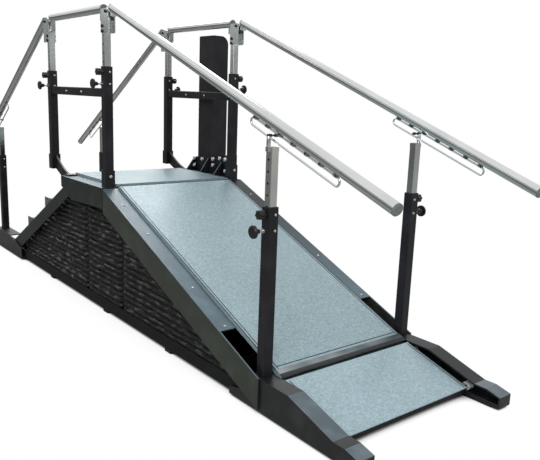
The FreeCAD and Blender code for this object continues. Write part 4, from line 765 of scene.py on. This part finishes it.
linings = lining_screws("base_post_screws", "base", FOOT_POSTS)
linings += lining_screws("landing_post_screws", "platform", LANDING_POSTS)
socket_bolts = [(at(x, side * POST_Y, z), (way, 0, 0)) for side in (-1, 1) for x, z, way in SOCKET_BOLTS]
screws("socket_bolts", zinc_screw, "platform", socket_bolts, 8.0, 5.0)
print("post screws", linings + len(socket_bolts))

# %% [markdown]
# The rails turn on black cross bolts at the top of the landing tubes, and two more bolts under each pivot
# hold the cheek plates. Each shows a head on either side of the plates.

# %% Pivot bolts of the rails
CHEEK = 19.0
CHEEK_BOLTS = (
    (RAMP_RAIL_START_X, RAIL_PIVOT_Z), (STAIR_RAIL_START_X, RAIL_PIVOT_Z),
    (0.0, 1330.0), (0.0, 1308.0), (STAIR_HEAD_X, 1316.0), (STAIR_HEAD_X, 1294.0))
for label, side in SIDES:
    ends = [
        (at(x, side * POST_Y + way * CHEEK, z), (0, way, 0)) for x, z in CHEEK_BOLTS for way in (-1, 1)]
    screws("rail_pivot_bolts_" + label, dark_screw, "head_tubes_" + label, ends, 7.5, 5.0)
print("cheek bolts", 2 * len(CHEEK_BOLTS))

# %% [markdown]
# Under each sloping rail hangs a loop of bright round rod, and a hook at the top of the foot post runs in
# it. The drawing has the rods with eight sides. A round rod a little thicker is laid over them: a circle is
# spun round the ends of the loop and drawn out along its strands. It leaves the hook its play when the
# landing is down.

# %% Round rods of the loops
ROD, LOOP_UPPER = 3.5, 26.0
LOOPS = {
    "ramp": (RAMP_RAIL_START_X, RAMP_RAIL_SLOPE, 1, 52.0, (1138.0, 1590.0)),
    "stair": (STAIR_RAIL_START_X, STAIR_RAIL_SLOPE, -1, 64.0, (860.0, 1310.0)),
}
STRAND_SIDES, END_STEPS = 12, 12


def loop_rod(mesh_data, low, length):
    """A closed loop of rod in its own plane: strands along X at height 0 and at -low."""
    bend = low / 2000
    ring = bmesh.ops.create_circle(
        mesh_data, segments=STRAND_SIDES, radius=ROD / 1000,
        matrix=facing((1, 0, 0), Vector((bend, 0, 0))))["verts"]
    edges = list({e for v in ring for e in v.link_edges})
    for way, centre_x in ((1, length / 1000 - bend), (-1, bend)):
        grown = bmesh.ops.extrude_edge_only(mesh_data, edges=edges)["geom"]
        tips = [g for g in grown if isinstance(g, bmesh.types.BMVert)]
        bmesh.ops.translate(mesh_data, verts=tips, vec=(way * (length / 1000 - 2 * bend), 0, 0))
        edges = [g for g in grown if isinstance(g, bmesh.types.BMEdge)]
        turned = bmesh.ops.spin(
            mesh_data, geom=tips + edges, cent=(centre_x, 0, -bend), axis=(0, 1, 0),
            angle=math.pi, steps=END_STEPS)["geom_last"]
        edges = [g for g in turned if isinstance(g, bmesh.types.BMEdge)]
    bmesh.ops.remove_doubles(mesh_data, verts=mesh_data.verts, dist=1e-5)


for run, (start_x, slope, way, lower, (first, last)) in LOOPS.items():
    for label, side in SIDES:
        loop = bmesh.new()
        loop_rod(loop, lower - LOOP_UPPER, last - first)
        above = RAIL_RISE - LOOP_UPPER
        along_axis = Vector((way * math.cos(slope), 0, -math.sin(slope)))
        up_axis = Vector((way * math.sin(slope), 0, math.cos(slope)))
        turn = Matrix((along_axis, Vector((0, 1, 0)), up_axis)).transposed().to_4x4()
        corner = at(start_x, side * POST_Y, RAIL_PIVOT_Z) + (along_axis * first + up_axis * above) / 1000
        bmesh.ops.transform(loop, matrix=Matrix.Translation(corner) @ turn, verts=loop.verts)
        piece("%s_loop_rod_%s" % (run, label), loop, bright_steel, "%s_rail_%s" % (run, label))
print("loop rods", 4)

# %% [markdown]
# The hook is a bright neck that stands on the inner tube beside the loop, with a dark pin that reaches
# through the loop. A sleeve on either side of the rods keeps the pin in line, and stays clear of the
# strands.

# %% Hooks in the loops
HOOKS = ((RAMP_POST_X, 897.9, 933.9), (STAIR_POST_X, 786.4, 834.3))
NECK, SLEEVE, LEG_OUT, PIN_IN, CLEAR, UNDER_PIN = 7.0, 5.2, 17.0, 17.0, 6.0, 2.0
for label, side in SIDES:
    necks, pins = bmesh.new(), bmesh.new()
    for x, foot, pin in HOOKS:
        leg_y = side * (POST_Y + LEG_OUT)
        rod(necks, at(x, leg_y, foot), at(x, leg_y, pin - UNDER_PIN), NECK)
        rod(pins, at(x, side * (POST_Y - PIN_IN), pin), at(x, side * (POST_Y - CLEAR), pin), SLEEVE)
        rod(pins, at(x, side * (POST_Y + CLEAR), pin), at(x, leg_y + side * SLEEVE, pin), SLEEVE)
    piece("hook_necks_" + label, necks, bright_steel, "foot_tubes_" + label)
    piece("hook_sleeves_" + label, pins, clip_black, "foot_tubes_" + label)
print("hooks", 4)

# %% [markdown]
# A rubber profile seals the joint between the deck and the flanges. From above it shows as two fine dark
# lines along each edge, and again above the nosing at the foot of the ramp, whose own lower half is a
# rubber inlay. Thin bars laid a fraction of a millimetre proud of the deck give the same double line.

# %% Edge seals of the ramp
RAMP_TURN = Matrix.Rotation(RAMP_PITCH, 4, "Y")
DECK_HALF, DECK_RISE, PROUD, SEAL_DEEP = 316.0, 12.0, 0.5, 1.6
EDGE_LINES = ((1.5, 3.0), (13.0, 2.4))
CROSS_LINES = ((1284, 2.6, DECK_HALF - 13), (11.5, 4.0, DECK_HALF))
INLAY_PLACE, INLAY_WIDE, INLAY_PROUD = 1329, 17, 2.4
RAMP_SEAL = (1286, 653)


def double_lines(mesh_data, length, middle, on_deck, turn):
    """Both lines of the seal along both edges of a sloping deck."""
    for side in (-1, 1):
        for inset, wide in EDGE_LINES:
            place = on_deck(middle, DECK_RISE + PROUD, side * (DECK_HALF - inset))
            bar(mesh_data, (length, wide, SEAL_DEEP), place, turn)


seal = bmesh.new()
double_lines(seal, *RAMP_SEAL, on_ramp, RAMP_TURN)
for along, wide, half in CROSS_LINES:
    bar(seal, (wide, 2 * half, SEAL_DEEP), on_ramp(along, DECK_RISE + PROUD, 0), RAMP_TURN)
piece("ramp_edge_seals", seal, seal_rubber, "ramp")
inlay = bmesh.new()
inlay_at = on_ramp(INLAY_PLACE, DECK_RISE + INLAY_PROUD, 0)
bar(inlay, (INLAY_WIDE, 2 * DECK_HALF, SEAL_DEEP), inlay_at, RAMP_TURN)
piece("ramp_nosing_inlay", inlay, seal_rubber, "ramp")
print("ramp seal and inlay", 2)

# %% [markdown]
# The flap is the short plate that reaches from the foot of the ramp to the floor. Its slope follows from
# the heights of its hinge and its toe and the distance between them.

# %% Edge seals of the flap and the landing
FLAP_HINGE_Z, FLAP_TOE_Z, FLAP_LENGTH = 113.0, 32.0, 302.0
FLAP_SEAL, LANDING_SEAL, LANDING_END_X = (285, 158), (480, -228), 13.5
FLAP_PITCH = math.asin((FLAP_HINGE_Z - FLAP_TOE_Z) / FLAP_LENGTH)
FLAP_HINGE_X = RAMP_HINGE[0] + RAMP_LENGTH * math.cos(RAMP_PITCH)


def on_flap(along, above, y):
    """A point given down the flap from its hinge and square to it."""
    x = FLAP_HINGE_X + along * math.cos(FLAP_PITCH) + above * math.sin(FLAP_PITCH)
    z = FLAP_HINGE_Z - along * math.sin(FLAP_PITCH) + above * math.cos(FLAP_PITCH)
    return at(x, y, z)


flap_seal = bmesh.new()
double_lines(flap_seal, *FLAP_SEAL, on_flap, Matrix.Rotation(FLAP_PITCH, 4, "Y"))
piece("flap_edge_seals", flap_seal, seal_rubber, "flap")
landing_seal = bmesh.new()
edge_inset, edge_wide = EDGE_LINES[0]
length, middle = LANDING_SEAL
for side in (-1, 1):
    place = at(middle, side * (DECK_HALF - edge_inset), LANDING_TOP + PROUD)
    bar(landing_seal, (length, edge_wide, SEAL_DEEP), place)
bar(landing_seal, (edge_wide, 2 * DECK_HALF, SEAL_DEEP), at(LANDING_END_X, 0, LANDING_TOP + PROUD))
piece("landing_edge_seals", landing_seal, seal_rubber, "platform")
print("flap and landing seals", 2)

# %% [markdown]
# The stage is a pale floor under a white room: one large square that reaches past the edges of the picture.

# %% Floor
FLOOR_HALF = 30
floor_mesh = bmesh.new()
bmesh.ops.create_grid(floor_mesh, x_segments=1, y_segments=1, size=FLOOR_HALF)
floor_data = bpy.data.meshes.new("studio_floor")
floor_mesh.to_mesh(floor_data)
floor_mesh.free()
floor = bpy.data.objects.new("studio_floor", floor_data)
scene.collection.objects.link(floor)
print("floor", floor.name)

# %% [markdown]
# The floor answers the camera's own rays with white, so the background is as clean as in the photograph.
# Only where the object shuts out the open room, which Ambient Occlusion measures, does the plain matt floor
# come through: so it keeps the object's shadow. On top of that the matt floor has a painted shade that turns
# black where it is shut in most, so a gap in the object stays dark. Polished metal mirrors a dimmer floor
# than the camera sees, darkest towards the stairs, or the lower half of each rail would vanish in white.

# %% Floor paint
MIRRORED_SHARE, SHUT, OPEN = 0.75, 0.1, 0.52
SHADOW_REACH, ROOM_HALF = 1.6, 5.0
floor_paint = bpy.data.materials.new("white_studio_floor")
floor_paint.use_nodes = True
tree = floor_paint.node_tree
tree.nodes.clear()
rays = add(tree, "LightPath").outputs
shared = {0: rays["Is Glossy Ray"], 1: MIRRORED_SHARE}
in_metal = add(tree, "Math", {"operation": "MULTIPLY"}, shared).outputs["Value"]
seen = add(tree, "Math", {"operation": "MAXIMUM"}, {0: rays["Is Camera Ray"], 1: in_metal}).outputs["Value"]
openness = add(tree, "AmbientOcclusion", {"samples": 32}, {"Distance": SHADOW_REACH}).outputs["AO"]
steps = {"Value": openness, "From Min": SHUT, "From Max": OPEN}
in_the_open = add(tree, "MapRange", None, steps).outputs["Result"]
share = add(tree, "Math", {"operation": "MULTIPLY"}, {0: seen, 1: in_the_open}).outputs["Value"]
# Painted shade: the matt floor's colour darkens to black as the object shuts it in.
painted_shade_stops = [(0.0, "#000000"), (0.16, "#242424"), (0.36, "#DDDDDD")]
painted_floor_shade = add(tree, "ValToRGB", None, {"Fac": openness}, painted_shade_stops).outputs["Color"]
matt = add(tree, "BsdfDiffuse", None, {"Color": painted_floor_shade}).outputs["BSDF"]
place = add(tree, "SeparateXYZ", None, {"Vector": add(tree, "TexCoord").outputs["Object"]}).outputs
across = add(tree, "Math", {"operation": "ADD"}, {0: place["X"], 1: place["Y"]}).outputs["Value"]
steps = {"Value": across, "From Min": -ROOM_HALF, "From Max": ROOM_HALF}
across = add(tree, "MapRange", None, steps).outputs["Result"]
greys = [(0.2, "#62625A"), (0.5, "#95938A"), (0.7, "#C6C6BE")]
dim = add(tree, "ValToRGB", None, {"Fac": across}, greys).outputs["Color"]
shades = {"Fac": rays["Is Camera Ray"], "Color1": dim, "Color2": (1, 1, 1, 1)}
shade = add(tree, "MixRGB", None, shades).outputs["Color"]
glow = add(tree, "Emission", None, {"Color": shade, "Strength": 1.0}).outputs["Emission"]
surface = add(tree, "MixShader", None, {0: share, 1: matt, 2: glow}).outputs["Shader"]
add(tree, "OutputMaterial", None, {"Surface": surface})
floor_data.materials.append(floor_paint)
print("floor paint", floor_paint.name)

# %% [markdown]
# The room lights everything with a soft bluish white and shows itself pure white to the camera. Polished
# rails need something to mirror, or they look like chalk: so in reflections the room is white overhead and
# has a darker band along the horizon, as the far walls of a real studio do.

# %% Room
room = bpy.data.worlds.new("white_room")
scene.world = room
room.use_nodes = True
tree = room.node_tree
tree.nodes.clear()
rays = add(tree, "LightPath").outputs
direction = add(tree, "TexCoord").outputs["Generated"]
height = add(tree, "SeparateXYZ", None, {"Vector": direction}).outputs["Z"]
walls = [(0.0, "#454743"), (0.06, "#6A6C67"), (0.15, "#DCE0E0"), (0.28, "#FFFFFF")]
mirrored = add(tree, "ValToRGB", None, {"Fac": height}, walls).outputs["Color"]
plain = add(tree, "Background", None, {"Color": linear("#F4F8FC"), "Strength": 0.62}).outputs["Background"]
in_metal = add(tree, "Background", None, {"Color": mirrored, "Strength": 1.0}).outputs["Background"]
white = add(tree, "Background", None, {"Color": (1, 1, 1, 1), "Strength": 1.0}).outputs["Background"]
lit = add(tree, "MixShader", None, {0: rays["Is Glossy Ray"], 1: plain, 2: in_metal}).outputs["Shader"]
both = add(tree, "MixShader", None, {0: rays["Is Camera Ray"], 1: lit, 2: white}).outputs["Shader"]
add(tree, "OutputWorld", None, {"Surface": both})
print("room", room.name)

# %% [markdown]
# The main lamp is a soft box high behind the stairs, where the near flange and the top corner of the ramp
# mirror it. A low panel behind the stairs does the same for the near half of the landing, and a weak box
# fills from the camera's side. None of them shows itself to the camera.

# %% Lamps
def soft_box(name, place, target, size, watts):
    """A lamp like a lit cloth, aimed from a place at a target."""
    data = bpy.data.lights.new(name, "AREA")
    data.shape = "RECTANGLE"
    data.size, data.size_y = size
    data.energy = watts
    lamp = bpy.data.objects.new(name, data)
    lamp.location = place
    lamp.rotation_euler = (Vector(target) - Vector(place)).to_track_quat("-Z", "Y").to_euler()
    lamp.visible_camera = False
    scene.collection.objects.link(lamp)


soft_box("key_soft_box", (-2.9, 1.5, 4.1), (0, 0, 0.5), (2.4, 2.4), 130)
soft_box("low_panel", (-5.0, 1.7, 1.5), (0, -0.2, 0.6), (1.8, 1.4), 12)
soft_box("fill_soft_box", (3.6, -3.4, 3.2), (0, 0, 0.5), (2.5, 2.5), 65)
scene.view_settings.view_transform = "Standard"
print("lamps", 3)
